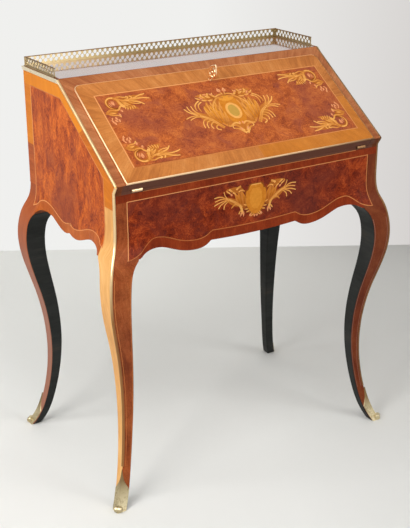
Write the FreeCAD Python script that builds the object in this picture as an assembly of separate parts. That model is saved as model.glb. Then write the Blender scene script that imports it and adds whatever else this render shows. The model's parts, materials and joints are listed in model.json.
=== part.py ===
import FreeCAD, Part
import math
import os

# A slant-front writing desk on cabriole legs, in millimetres.
# X runs to the right, the front looks along -Y, Z is up, and the floor is at zero.

# Case
case_width = 697.0
case_depth = 412.0
writing_height = 727.0
slope_rise = 188.0
top_depth = 171.9
apron_height = 145.0
slope_thickness = 20.0
side_thickness = 18.0
top_thickness = 15.0
post_size = 50.0
back_thickness = 12.0
back_setback = 4.0
back_lift = 8.0
bottom_thickness = 10.0
bottom_lift = 24.0
rail_height = 22.0
rail_depth = 40.0
apron_thickness = 20.0
lock_rail_depth = 41.0
cut_overrun = 5.0

# Cabriole legs: how far the outer corner stands beyond the post, and how wide the leg is there
foot_throw = 32.5
foot_width = 23.0
shin_throw = -0.5
shin_width = 23.0
ankle_throw = -11.0
ankle_width = 29.0
calf_throw = 4.0
calf_width = 37.0
knee_throw = 28.0
knee_width = 50.0
thigh_throw = 16.0

# Heights of those places, from the floor to the spring of the arch, and of the shoulder above it
shin_height_share = 0.172
ankle_height_share = 0.438
calf_height_share = 0.636
knee_height_share = 0.911
thigh_height_share = 1.005
shoulder_height_share = 0.634
foot_lean_share = 0.6
arch_lean_share = 1.6

# Scalloped lower edges: along the half span from the post to the middle, and up from the spring line
scallop_rise = 12.0
front_scallop_shares = [(1.0, 0.0), (0.955, 0.62), (0.87, 1.0), (0.78, 0.62), (0.653, -0.56),
                        (0.536, -1.12), (0.452, -0.98), (0.385, 0.0)]
front_middle_share = -0.3
side_scallop_shares = [(1.0, 0.0), (0.93, 0.8), (0.76, 1.3), (0.52, 0.62), (0.2, -0.75), (0.0, -0.3)]
side_cusp_setback = 8.0
ear_length = 62.0
ear_fade_share = 0.02
ear_root = 10.0
ear_foot_drop = 14.0

# Brass on the legs
strip_width = 4.0
strip_proud = 1.2
sabot_wall = 1.6
sabot_sole = 2.0
sabot_height = 36.0
sabot_wrap_share = 0.9
tongue_top = 88.0
toe_radius = 7.0
toe_length = 18.0
toe_rounding = 3.0

# The shoe's leaf outline above its full width: out from the corner, and up to the tip of its tongue
leaf_shares = [(0.6, 0.24), (0.26, 0.5), (0.1, 0.77)]

# Brass round the top
moulding_height = 11.0
moulding_proud = 3.0
moulding_rounding = 1.4
gallery_height = 21.0
gallery_inset = 5.0
gallery_setback = 18.0
gallery_thickness = 1.6
gallery_base_width = 6.0
gallery_base_height = 2.5
gallery_bead_radius = 1.7
gallery_hole_spacing = 12.6
gallery_hole_radius = 2.9

# Fall
fall_side_margin = 30.5
fall_top_margin = 32.8
fall_raise = 2.7
fall_heel_gap = 0.3
fall_side_gap = 0.8
lip_width = 6.0
lip_height = 4.0
lip_seat_gap = 0.3
lip_corner_radius = 15.0
lip_rounding = 1.7
leather_thickness = 1.2
leather_margin = 42.0
leather_lock_gap = 11.0

# Hinges
hinge_inset = 23.0
hinge_width = 24.0
knuckle_radius = 4.0
knuckle_gap = 0.3
leaf_thickness = 2.0
leaf_depth = 18.0
pin_radius = 1.5
pin_clearance = 0.05
barrel_clearance = 0.4
screw_head_radius = 2.8
screw_shank_radius = 1.3
screw_length = 12.0
screw_spread_share = 0.29
screw_place_share = 0.62

# Lock and key
lock_width = 52.0
lock_below_key = 17.5
lock_depth = 12.0
lock_wall = 1.5
bolt_width = 16.0
bolt_thickness = 6.0
bolt_length = 20.0
bolt_setback = 1.0
bolt_travel = 8.5
bolt_clearance = 0.15
strike_thickness = 1.5
strike_width = 40.0
strike_height = 14.0
mortise_spare = 3.0
key_drop = 31.5
key_radius = 2.4
key_clearance = 0.1
keyhole_clearance = 0.6
key_bit_length = 9.0
key_bit_width = 1.8
key_bit_height = 5.0
key_neck = 16.0
key_collar_radius = 3.8
key_collar_height = 2.2
bow_ring_radius = 6.6
bow_hole_radius = 3.7
bow_thickness = 3.2

# Writing bed and well
bed_thickness = 15.0
well_width = 300.0
well_front_gap = 16.0
well_depth = 130.0
well_wall = 8.0
lid_thickness = 7.0
lid_lap = 6.0
lid_clearance = 0.3
lid_travel = 125.0
finger_groove_length = 44.0
finger_groove_radius = 9.0
finger_groove_depth = 3.5
finger_groove_setback = 16.0

# Fitted interior
nest_depth = 190.0
nest_board = 8.0
drawer_bay_height = 52.0
drawer_length = 150.0
drawer_front_thickness = 10.0
drawer_wall = 6.0
drawer_bottom = 4.0
drawer_bottom_lift = 3.0
drawer_side_drop = 5.0
drawer_clearance = 0.5
knob_radius = 6.5
knob_neck_radius = 3.0
knob_length = 13.0
partition_gap = 2.0

# Places worked out from the sizes above
half_width = case_width / 2
half_depth = case_depth / 2
case_height = writing_height + slope_rise
spring_height = writing_height - apron_height
bottom_height = spring_height + bottom_lift
back_bottom_height = spring_height + back_lift
under_top = case_height - top_thickness
post_top = writing_height - rail_height
inner_half_width = half_width - side_thickness
span_half_width = half_width - post_size
span_half_depth = half_depth - post_size
back_inner = half_depth - back_setback - back_thickness
nest_front = back_inner - nest_depth
slope_run = case_depth - top_depth
brow_reach = math.hypot(slope_run, slope_rise)
slope_angle = math.degrees(math.atan2(slope_rise, slope_run) - math.asin(slope_thickness / brow_reach))
slope_length = math.sqrt(brow_reach ** 2 - slope_thickness ** 2)
slope_cos = math.cos(math.radians(slope_angle))
slope_sin = math.sin(math.radians(slope_angle))
reach = case_width
lip_floor = slope_thickness + lip_seat_gap
fall_half_width = half_width - fall_side_margin
fall_length = slope_length - fall_top_margin
fall_thickness = lip_floor + fall_raise
rail_face = fall_length + fall_side_gap
hinge_offset = fall_half_width - hinge_inset
lock_height = key_drop + lock_below_key
leather_top_margin = lock_height + leather_lock_gap
drawer_bay = (inner_half_width * 2 - nest_board * 2) / 3
bay_step = drawer_bay + nest_board

X_AXIS = FreeCAD.Vector(1, 0, 0)
Y_AXIS = FreeCAD.Vector(0, 1, 0)
Z_AXIS = FreeCAD.Vector(0, 0, 1)


def point(x, y, z):
    return FreeCAD.Vector(x, y, z)


def box(x0, x1, y0, y1, z0, z1):
    return Part.makeBox(x1 - x0, y1 - y0, z1 - z0, point(x0, y0, z0))


def slab(z0, z1):
    return box(-reach, reach, -reach, reach, z0, z1)


def line(start, end):
    return Part.makeLine(start, end)


def spline(points, first=None, last=None):
    curve = Part.BSplineCurve()
    if first is None:
        curve.interpolate(Points=points)
    else:
        curve.interpolate(Points=points, InitialTangent=first, FinalTangent=last)
    return curve


def polygon_prism(points, direction):
    return Part.Face(Part.makePolygon(points + points[:1])).extrude(direction)


def on_slope(shape):
    # Turns a piece drawn flat, with Y up the slope and Z out of it, onto the hinge line.
    placed = shape.copy()
    placed.rotate(point(0, 0, 0), X_AXIS, slope_angle)
    placed.translate(point(0, -half_depth, writing_height))
    return placed


def slope_place(x, up, out):
    # The point at a distance up the fall's inner face and out from it.
    y = -half_depth + up * slope_cos - out * slope_sin
    z = writing_height + up * slope_sin + out * slope_cos
    return point(x, y, z)


def slope_y_at(height):
    # Where the case's sloping face passes a height.
    nose = slope_place(0, 0, slope_thickness)
    return nose.y + (height - nose.z) * slope_cos / slope_sin


# Cabriole legs

shin_height = spring_height * shin_height_share
ankle_height = spring_height * ankle_height_share
calf_height = spring_height * calf_height_share
knee_height = spring_height * knee_height_share
thigh_height = spring_height * thigh_height_share
shoulder_height = spring_height + (post_top - spring_height) * shoulder_height_share

outer_table = [(foot_throw, 0), (shin_throw, shin_height), (ankle_throw, ankle_height),
               (calf_throw, calf_height), (knee_throw, knee_height), (thigh_throw, thigh_height),
               (0, shoulder_height)]
inner_table = [(foot_throw - foot_width, 0), (shin_throw - shin_width, shin_height),
               (ankle_throw - ankle_width, ankle_height), (calf_throw - calf_width, calf_height),
               (knee_throw - knee_width, knee_height), (-post_size, spring_height)]


def on_side(side):
    def place(throw, height):
        return point(side * (half_width + throw), 0, height)
    return place


def on_end(end):
    def place(throw, height):
        return point(0, end * (half_depth + throw), height)
    return place


def lean(place, share):
    return place(-share, 1) - place(0, 0)


def outer_edge(place, proud):
    points = [place(throw + proud, height) for throw, height in outer_table]
    return spline(points, lean(place, foot_lean_share), lean(place, 0)).toShape()


def inner_edge(place):
    points = [place(throw, height) for throw, height in inner_table]
    return spline(points, lean(place, foot_lean_share), lean(place, arch_lean_share)).toShape()


def leg_face(place, top):
    # The sawn outline of a leg: the flaring outer line, the post, the arch and the inner line.
    edges = [outer_edge(place, 0),
             line(place(0, shoulder_height), place(0, top)),
             line(place(0, top), place(-post_size, top)),
             line(place(-post_size, top), place(-post_size, spring_height)),
             inner_edge(place),
             line(place(foot_throw - foot_width, 0), place(foot_throw, 0))]
    return Part.Face(Part.Wire(Part.__sortEdges__(edges)))


def strip_face(place, proud, width):
    # A band that follows the outer line of a leg and its post.
    edges = [outer_edge(place, proud),
             line(place(proud, shoulder_height), place(proud, case_height)),
             line(place(proud, case_height), place(-width, case_height)),
             line(place(-width, case_height), place(-width, shoulder_height)),
             outer_edge(place, -width),
             line(place(foot_throw - width, 0), place(foot_throw + proud, 0))]
    return Part.Face(Part.Wire(Part.__sortEdges__(edges)))


def sawn_both_ways(face_on_side, face_on_end):
    # The same outline is sawn through the front and through the side of the blank.
    face_on_side.translate(point(0, -reach, 0))
    face_on_end.translate(point(-reach, 0, 0))
    through_depth = face_on_side.extrude(point(0, reach * 2, 0))
    through_width = face_on_end.extrude(point(reach * 2, 0, 0))
    return through_depth.common(through_width)


def leg_blank(side, end, top):
    # A leg from the top of its shoe's sole up.
    sawn = sawn_both_ways(leg_face(on_side(side), top), leg_face(on_end(end), top))
    return sawn.common(slab(sabot_sole, top))


def corner_band(side, end, proud, width, bottom, top):
    band = sawn_both_ways(strip_face(on_side(side), proud, width),
                          strip_face(on_end(end), proud, width))
    return band.common(slab(bottom, top))


def leg_strip(side):
    return corner_band(side, -1, strip_proud, strip_width, tongue_top, writing_height)


def leg(side, end):
    if end < 0:
        return leg_blank(side, end, post_top).cut(leg_strip(side))
    return leg_blank(side, end, under_top)


def shoe_leaf(side, end):
    # The shoe's outline seen from its corner, cut right through: full at the foot, drawn up to a point.
    across = point(side, -end, 0).normalize()
    outwards = point(side, end, 0).normalize()
    half = math.hypot(foot_width, foot_width) / 2 + sabot_wall
    start = point(side * half_width, end * half_depth, 0) - outwards * reach
    edges = []
    for hand in (-1, 1):
        def place(out, height):
            return start + across * (hand * out) + point(0, 0, height)

        rise = tongue_top - sabot_height
        curve = [place(half * out, sabot_height + rise * up) for out, up in leaf_shares]
        edges += [line(place(0, 0), place(half, 0)), line(place(half, 0), place(half, sabot_height)),
                  spline([place(half, sabot_height)] + curve + [place(0, tongue_top)]).toShape()]
    return Part.Face(Part.Wire(Part.__sortEdges__(edges))).extrude(outwards * (reach * 2))


def sabot(side, end):
    # A cast shoe, open behind: a leaf-shaped skin on the foot's outer faces, a sole and a rolled toe.
    skin = corner_band(side, end, sabot_wall, foot_width * sabot_wrap_share, 0, tongue_top)
    toe_place = foot_throw - toe_radius / 2
    centre = point(side * (half_width + toe_place), end * (half_depth + toe_place), toe_radius)
    across = point(side, -end, 0).normalize()
    toe = Part.makeCylinder(toe_radius, toe_length, centre - across * (toe_length / 2), across)
    toe = toe.makeFillet(toe_rounding, toe.Edges)
    return skin.common(shoe_leaf(side, end)).fuse(toe).cut(leg_blank(side, end, under_top)).removeSplitter()


def throw_at(height):
    # How far the outer line of a leg stands beyond the post at a height.
    curve = outer_edge(on_end(1), 0).Curve
    low, high = curve.FirstParameter, curve.LastParameter
    for halving in range(40):
        middle = (low + high) / 2
        if curve.value(middle).z < height:
            low = middle
        else:
            high = middle
    return curve.value(low).y - half_depth


# Scalloped panels

def scallop_points(shares, half_span, place):
    return [place(along * half_span, spring_height + rise * scallop_rise) for along, rise in shares]


ear_foot = spring_height - ear_foot_drop
ear_heights = [shoulder_height - (shoulder_height - ear_foot) * step / 3 for step in range(4)]


def ear(place):
    # A swelling that carries the knee's curve a little way along the panel beside it.
    sections = []
    for along, fade in ((0, 1), (ear_length, ear_fade_share)):
        curve = spline([place(along, throw_at(height) * fade, height) for height in ear_heights]).toShape()
        foot = place(along, -ear_root, ear_foot)
        top = place(along, -ear_root, shoulder_height)
        ends = [line(curve.valueAt(curve.LastParameter), foot), line(foot, top),
                line(top, curve.valueAt(curve.FirstParameter))]
        sections.append(Part.Wire([curve] + ends))
    return Part.makeLoft(sections, True, True)


def front_apron():
    def place(along, height):
        return point(along, 0, height)

    right = spline(scallop_points(front_scallop_shares, span_half_width, place)).toShape()
    left = spline(scallop_points(front_scallop_shares, -span_half_width, place)).toShape()
    middle = Part.Arc(left.valueAt(left.LastParameter),
                      place(0, spring_height + front_middle_share * scallop_rise),
                      right.valueAt(right.LastParameter)).toShape()
    edges = [left, middle, right,
             line(place(span_half_width, spring_height), place(span_half_width, post_top)),
             line(place(span_half_width, post_top), place(-span_half_width, post_top)),
             line(place(-span_half_width, post_top), place(-span_half_width, spring_height))]
    face = Part.Face(Part.Wire(Part.__sortEdges__(edges)))
    face.translate(point(0, -half_depth - knee_throw - cut_overrun, 0))
    outline = face.extrude(point(0, knee_throw + cut_overrun + apron_thickness, 0))
    board = outline.common(box(-reach, reach, -half_depth, 0, 0, case_height))
    ears = []
    for side in (-1, 1):
        def ear_place(along, throw, height):
            return point(side * (span_half_width - along), -half_depth - throw, height)
        ears.append(ear(ear_place).common(outline))
    return board.fuse(ears).removeSplitter()


def side_panel(side):
    def place(along, height):
        return point(0, along, height)

    front_stretch = (span_half_depth + side_cusp_setback) / span_half_depth
    back_stretch = (span_half_depth - side_cusp_setback) / span_half_depth

    def front_half(along, height):
        return place(side_cusp_setback - along * front_stretch, height)

    def back_half(along, height):
        return place(side_cusp_setback + along * back_stretch, height)

    front = spline(scallop_points(side_scallop_shares, span_half_depth, front_half)).toShape()
    back = spline(scallop_points(side_scallop_shares, span_half_depth, back_half)).toShape()
    corners = [place(-span_half_depth, spring_height), place(-span_half_depth, post_top),
               place(-half_depth, post_top), place(-half_depth, writing_height),
               slope_place(0, 0, slope_thickness), place(slope_y_at(under_top), under_top),
               place(span_half_depth, under_top), place(span_half_depth, spring_height)]
    edges = [line(start, end) for start, end in zip(corners, corners[1:])] + [front, back]
    face = Part.Face(Part.Wire(Part.__sortEdges__(edges)))
    face.translate(point(side * inner_half_width, 0, 0))
    outline = face.extrude(point(side * (side_thickness + knee_throw + cut_overrun), 0, 0))
    board = outline.common(box(-half_width, half_width, -reach, reach, 0, case_height))
    ears = []
    for end in (-1, 1):
        def ear_place(along, throw, height):
            return point(side * (half_width + throw), end * (span_half_depth - along), height)
        ears.append(ear(ear_place).common(outline))
    return board.fuse(ears).cut(leg_strip(side)).cut(slope_strip(side)).removeSplitter()


# Case boards

def posts():
    # The square space that each corner post takes inside the case.
    blocks = []
    for side in (-1, 1):
        for end in (-1, 1):
            corner = box(span_half_width, half_width, span_half_depth, half_depth, 0, case_height)
            turned = corner.mirror(point(0, 0, 0), X_AXIS) if side < 0 else corner
            turned = turned.mirror(point(0, 0, 0), Y_AXIS) if end < 0 else turned
            blocks.append(turned)
    return blocks


def top_board():
    outline = [point(-half_width, slope_y_at(under_top), under_top),
               point(-half_width, half_depth, under_top),
               point(-half_width, half_depth, case_height),
               point(-half_width, slope_y_at(case_height), case_height)]
    board = polygon_prism(outline, point(case_width, 0, 0))
    return board.cut(slope_strip(-1)).cut(slope_strip(1))


def slope_strip(side):
    # A rounded brass strip let into the outer edge of the slope.
    inner = half_width - strip_width
    outer = half_width + strip_proud
    length = (case_height - slope_place(0, 0, slope_thickness).z) / slope_sin
    bar = box(inner, outer, 0, length, slope_thickness - strip_width, slope_thickness + strip_proud)
    edge = [item for item in bar.Edges
            if abs(item.CenterOfMass.x - outer) < strip_proud
            and abs(item.CenterOfMass.z - slope_thickness) < strip_width
            and item.CenterOfMass.z > slope_thickness and item.Length > strip_width * 2]
    bar = bar.makeFillet((strip_width + strip_proud) / 2, edge)
    placed = on_slope(bar).common(slab(0, case_height))
    return placed.mirror(point(0, 0, 0), X_AXIS) if side < 0 else placed


def slope_stile(side):
    inner = fall_half_width + fall_side_gap
    stile = on_slope(box(inner, inner_half_width, 0, rail_face, 0, slope_thickness))
    return stile.mirror(point(0, 0, 0), X_AXIS) if side < 0 else stile


def strike_plate():
    low = (slope_thickness - strike_height) / 2
    plate = box(-strike_width / 2, strike_width / 2, rail_face, rail_face + strike_thickness,
                low, low + strike_height)
    return on_slope(plate.cut(bolt_slot(rail_face - cut_overrun, rail_face + strike_thickness + cut_overrun)))


def bolt_slot(low, high):
    side = bolt_width / 2 + bolt_clearance
    floor = (lock_depth - bolt_thickness) / 2 - bolt_clearance
    return box(-side, side, low, high, floor, floor + bolt_thickness + bolt_clearance * 2)


def lock_rail():
    # The rail behind the top board's bevel, with the mortise that takes the lock's bolt.
    heel = slope_place(-inner_half_width, rail_face, 0)
    brow = slope_place(-inner_half_width, rail_face, slope_thickness)
    outline = [heel, brow,
               point(-inner_half_width, slope_y_at(under_top), under_top),
               point(-inner_half_width, heel.y + lock_rail_depth, under_top),
               point(-inner_half_width, heel.y + lock_rail_depth, heel.z)]
    rail = polygon_prism(outline, point(inner_half_width * 2, 0, 0))
    mortise_end = fall_length - bolt_setback + bolt_travel + mortise_spare
    low = (slope_thickness - strike_height) / 2
    seat = box(-strike_width / 2, strike_width / 2, rail_face, rail_face + strike_thickness,
               low, low + strike_height)
    return rail.cut(on_slope(seat)).cut(on_slope(bolt_slot(rail_face, mortise_end)))


def front_rail():
    rail = box(-inner_half_width, inner_half_width, -half_depth, -half_depth + rail_depth,
               post_top, writing_height)
    for place in (-hinge_offset, hinge_offset):
        rail = rail.cut(barrel_space(place)).cut(case_leaf_plate(place))
    return rail.cut(Part.makeCompound(hinge_screws_case()))


def back_panel():
    return box(-span_half_width, span_half_width, back_inner, back_inner + back_thickness,
               back_bottom_height, under_top)


def case_bottom():
    board = box(-inner_half_width, inner_half_width, -half_depth + apron_thickness, back_inner,
                bottom_height, bottom_height + bottom_thickness)
    return board.cut(posts())


# Writing bed and well

well_front = -half_depth + rail_depth + well_front_gap
well_back_face = well_front + well_depth
bed_under = writing_height - bed_thickness
bottom_top = bottom_height + bottom_thickness


def writing_bed():
    bed = box(-inner_half_width, inner_half_width, -half_depth + rail_depth, back_inner,
              bed_under, writing_height)
    opening = box(-well_width / 2, well_width / 2, well_front, well_back_face, 0, case_height)
    side = well_width / 2 + lid_lap + lid_clearance
    channel = box(-side, side, well_front - lid_lap - lid_clearance,
                  well_back_face + lid_lap + lid_clearance + lid_travel,
                  writing_height - lid_thickness - lid_clearance * 2, case_height)
    return bed.cut(opening).cut(channel).cut(posts()).removeSplitter()


def well_lid():
    side = well_width / 2 + lid_lap
    top = writing_height - lid_clearance
    lid = box(-side, side, well_front - lid_lap, well_back_face + lid_lap, top - lid_thickness, top)
    centre = point(-finger_groove_length / 2, well_front + finger_groove_setback,
                   top - finger_groove_depth + finger_groove_radius)
    return lid.cut(Part.makeCylinder(finger_groove_radius, finger_groove_length, centre, X_AXIS))


def well_side(side):
    inner = well_width / 2
    wall = box(inner, inner + well_wall, -half_depth + apron_thickness, well_back_face + well_wall,
               bottom_top, bed_under)
    wall = wall.cut(box(-reach, reach, -half_depth, -half_depth + rail_depth, post_top, writing_height))
    return wall.mirror(point(0, 0, 0), X_AXIS) if side < 0 else wall


def well_back():
    return box(-well_width / 2, well_width / 2, well_back_face, well_back_face + well_wall,
               bottom_top, bed_under)


# Fitted interior

shelf_floor = writing_height + drawer_bay_height


def nest_shelf():
    shelf = box(-inner_half_width, inner_half_width, nest_front, back_inner,
                shelf_floor, shelf_floor + nest_board)
    return shelf.cut(posts())


def nest_divider(side):
    centre = side * bay_step / 2
    return box(centre - nest_board / 2, centre + nest_board / 2, nest_front, back_inner,
               writing_height, shelf_floor)


def nest_partition(side):
    centre = side * bay_step / 2
    front = slope_place(0, rail_face, 0).y + lock_rail_depth + partition_gap
    return box(centre - nest_board / 2, centre + nest_board / 2, front, back_inner,
               shelf_floor + nest_board, under_top)


drawer_floor = writing_height + drawer_clearance
drawer_top = shelf_floor - drawer_clearance
drawer_half = drawer_bay / 2 - drawer_clearance


def drawer_front(bay):
    centre = bay * bay_step
    return box(centre - drawer_half, centre + drawer_half, nest_front,
               nest_front + drawer_front_thickness, drawer_floor, drawer_top)


def drawer_box(bay):
    centre = bay * bay_step
    inner = drawer_half - drawer_wall
    start = nest_front + drawer_front_thickness
    end = nest_front + drawer_length
    side_top = drawer_top - drawer_side_drop
    left = box(centre - drawer_half, centre - inner, start, end, drawer_floor, side_top)
    right = box(centre + inner, centre + drawer_half, start, end, drawer_floor, side_top)
    back = box(centre - inner, centre + inner, end - drawer_wall, end, drawer_floor, side_top)
    floor = drawer_floor + drawer_bottom_lift
    bottom = box(centre - inner, centre + inner, start, end - drawer_wall, floor, floor + drawer_bottom)
    return Part.makeCompound([left, right, back, bottom])


def drawer_knob(bay):
    # A turned knob: a neck that swells into a round head.
    height = (drawer_floor + drawer_top) / 2
    face = point(bay * bay_step, nest_front, height)
    ball = Part.makeSphere(knob_radius, face - Y_AXIS * (knob_length - knob_radius))
    neck = Part.makeCylinder(knob_neck_radius, knob_length - knob_radius, face, -Y_AXIS)
    return ball.fuse(neck).removeSplitter()


# Fall

def rounded_outline(half, low, high, radius):
    # A frame's outline with round upper corners and square lower ones.
    turn = math.sqrt(2) / 2
    left, right = -half + radius, half - radius
    shoulder = high - radius
    right_arc = Part.Arc(point(half, shoulder, 0),
                         point(right + radius * turn, shoulder + radius * turn, 0),
                         point(right, high, 0)).toShape()
    left_arc = Part.Arc(point(left, high, 0),
                        point(left - radius * turn, shoulder + radius * turn, 0),
                        point(-half, shoulder, 0)).toShape()
    edges = [line(point(-half, low, 0), point(half, low, 0)),
             line(point(half, low, 0), point(half, shoulder, 0)), right_arc,
             line(point(right, high, 0), point(left, high, 0)), left_arc,
             line(point(-half, shoulder, 0), point(-half, low, 0))]
    return Part.Face(Part.Wire(edges))


def fall_core(low, floor, top):
    face = rounded_outline(fall_half_width, low, fall_length, lip_corner_radius - lip_width)
    face.translate(point(0, 0, floor))
    return face.extrude(point(0, 0, top - floor))


def fall_moulding():
    # A rounded brass lip that closes on the case round the fall and finishes flush at its heel.
    half = fall_half_width + lip_width
    face = rounded_outline(half, fall_heel_gap, fall_length + lip_width, lip_corner_radius)
    frame = face.extrude(point(0, 0, lip_height))
    face = rounded_outline(fall_half_width, fall_heel_gap + lip_width, fall_length,
                           lip_corner_radius - lip_width)
    face.translate(point(0, 0, -cut_overrun))
    frame = frame.cut(face.extrude(point(0, 0, lip_height + cut_overrun * 2)))
    upper = [edge for edge in frame.Edges if edge.BoundBox.ZMin > lip_height / 2]
    frame = frame.makeFillet(lip_rounding, upper)
    frame.translate(point(0, 0, lip_floor))
    return on_slope(frame)


def leather_block(thickness):
    side = fall_half_width - leather_margin
    return box(-side, side, leather_margin, fall_length - leather_top_margin, 0, thickness)


def lock_block():
    return box(-lock_width / 2, lock_width / 2, fall_length - lock_height, fall_length, 0, lock_depth)


def keyhole(radius, low, high):
    # A round hole for the shank with a slot below it for the bit.
    place = fall_length - key_drop
    hole = Part.makeCylinder(radius, high - low, point(0, place, low), Z_AXIS)
    slot = key_bit_width / 2 + keyhole_clearance
    return hole.fuse(box(-slot, slot, place - key_bit_length - keyhole_clearance, place, low, high))


def fall_panel():
    panel = fall_core(fall_heel_gap, 0, lip_floor)
    panel = panel.fuse(fall_core(fall_heel_gap + lip_width, lip_floor, fall_thickness)).removeSplitter()
    panel = panel.cut(leather_block(leather_thickness)).cut(lock_block())
    panel = panel.cut(keyhole(key_radius + keyhole_clearance, 0, fall_thickness + cut_overrun))
    panel = on_slope(panel)
    for place in (-hinge_offset, hinge_offset):
        panel = panel.cut(barrel_space(place)).cut(fall_leaf_plate(place))
    return panel.cut(Part.makeCompound(hinge_screws_fall()))


def writing_leather():
    return on_slope(leather_block(leather_thickness))


# Hinges: the barrel lies where the fall's inner face meets the rail's upper front edge

def barrel(x0, x1, radius):
    return Part.makeCylinder(radius, x1 - x0, point(x0, -half_depth, writing_height), X_AXIS)


def barrel_space(centre):
    side = hinge_width / 2 + barrel_clearance
    return barrel(centre - side, centre + side, knuckle_radius + barrel_clearance)


def case_leaf_plate(centre):
    return box(centre - hinge_width / 2, centre + hinge_width / 2, -half_depth, -half_depth + leaf_depth,
               writing_height - leaf_thickness, writing_height)


def fall_leaf_plate(centre):
    return on_slope(box(centre - hinge_width / 2, centre + hinge_width / 2, 0, leaf_depth,
                        0, leaf_thickness))


def hinge_thirds(centre):
    start = centre - hinge_width / 2
    return [(start + hinge_width * step / 3, start + hinge_width * (step + 1) / 3) for step in range(3)]


def hinge_leaf(centre, plate, own, screws):
    # A plate with its own knuckles, cut clear of the other leaf's.
    thirds = hinge_thirds(centre)
    for step in range(3):
        x0, x1 = thirds[step]
        if step in own:
            x0 = x0 + knuckle_gap / 2 if step > 0 else x0
            x1 = x1 - knuckle_gap / 2 if step < 2 else x1
            plate = plate.fuse(barrel(x0, x1, knuckle_radius))
    for step in range(3):
        x0, x1 = thirds[step]
        if step not in own:
            x0 = x0 - knuckle_gap / 2 if step > 0 else x0 - cut_overrun
            x1 = x1 + knuckle_gap / 2 if step < 2 else x1 + cut_overrun
            plate = plate.cut(barrel(x0, x1, knuckle_radius + barrel_clearance))
    bore = barrel(centre - hinge_width, centre + hinge_width, pin_radius + pin_clearance)
    return plate.cut(bore).cut(Part.makeCompound(screws)).removeSplitter()


def hinge_case_leaf(centre):
    return hinge_leaf(centre, case_leaf_plate(centre), (0, 2), hinge_screws_case())


def hinge_fall_leaf(centre):
    return hinge_leaf(centre, fall_leaf_plate(centre), (1,), hinge_screws_fall())


def hinge_pins():
    side = hinge_width / 2
    return [barrel(centre - side, centre + side, pin_radius) for centre in (-hinge_offset, hinge_offset)]


def screw(head, direction):
    cone = Part.makeCone(screw_head_radius, screw_shank_radius, leaf_thickness, head, direction)
    shank = Part.makeCylinder(screw_shank_radius, screw_length, head, direction)
    return cone.fuse(shank).removeSplitter()


def screw_columns():
    spread = hinge_width * screw_spread_share
    return [centre + shift for centre in (-hinge_offset, hinge_offset) for shift in (-spread, spread)]


def hinge_screws_case():
    place = -half_depth + leaf_depth * screw_place_share
    return [screw(point(x, place, writing_height), -Z_AXIS) for x in screw_columns()]


def hinge_screws_fall():
    place = leaf_depth * screw_place_share
    return [on_slope(screw(point(x, place, 0), Z_AXIS)) for x in screw_columns()]


# Lock and key

def lock_case():
    wall = lock_wall
    low = fall_length - lock_height
    cavity = box(-lock_width / 2 + wall, lock_width / 2 - wall, low + wall, fall_length - wall,
                 wall, lock_depth - wall)
    case = lock_block().cut(cavity).cut(bolt_slot(fall_length - wall - cut_overrun, fall_length))
    return on_slope(case.cut(keyhole(key_radius + key_clearance, lock_depth - wall, lock_depth)))


def lock_bolt():
    floor = (lock_depth - bolt_thickness) / 2
    top = fall_length - bolt_setback
    return on_slope(box(-bolt_width / 2, bolt_width / 2, top - bolt_length, top,
                        floor, floor + bolt_thickness))


def key():
    # A shank with a bit at its inner end, two collars and a bow of three pierced rings.
    place = fall_length - key_drop
    floor = (lock_depth - key_bit_height) / 2
    neck_top = fall_thickness + key_neck
    shank = Part.makeCylinder(key_radius, neck_top - floor, point(0, place, floor), Z_AXIS)
    bit = box(-key_bit_width / 2, key_bit_width / 2, place - key_bit_length, place,
              floor, floor + key_bit_height)
    solids = [bit]
    for low in (fall_thickness + key_collar_height, neck_top - key_collar_height):
        solids.append(Part.makeCylinder(key_collar_radius, key_collar_height, point(0, place, low), Z_AXIS))
    ring_step = (bow_ring_radius + bow_hole_radius) / 2
    centres = [(-ring_step, bow_hole_radius), (ring_step, bow_hole_radius),
               (0, bow_hole_radius + ring_step * math.sqrt(3))]
    holes = []
    for along, out in centres:
        start = point(-bow_thickness / 2, place + along, neck_top + out)
        solids.append(Part.makeCylinder(bow_ring_radius, bow_thickness, start, X_AXIS))
        holes.append(Part.makeCylinder(bow_hole_radius, bow_thickness, start, X_AXIS))
    return on_slope(shank.fuse(solids).cut(holes).removeSplitter())


# Brass round the top

def top_moulding():
    low, high = case_height - moulding_height, case_height
    outer = box(-half_width - moulding_proud, half_width + moulding_proud, -half_depth,
                half_depth + moulding_proud, low, high)
    corners = [edge for edge in outer.Edges if edge.BoundBox.ZMax - edge.BoundBox.ZMin < moulding_proud
               and edge.CenterOfMass.y > -half_depth + moulding_proud]
    outer = outer.makeFillet(moulding_rounding, corners)
    inner = box(-half_width, half_width, -reach, half_depth, low - cut_overrun, high + cut_overrun)
    front = [point(-reach, -reach, low - cut_overrun),
             point(-reach, slope_y_at(low - cut_overrun), low - cut_overrun),
             point(-reach, slope_y_at(high + cut_overrun), high + cut_overrun),
             point(-reach, -reach, high + cut_overrun)]
    moulding = outer.cut(inner).cut(polygon_prism(front, point(reach * 2, 0, 0)))
    return moulding.cut(slope_strip(-1)).cut(slope_strip(1))


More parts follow.
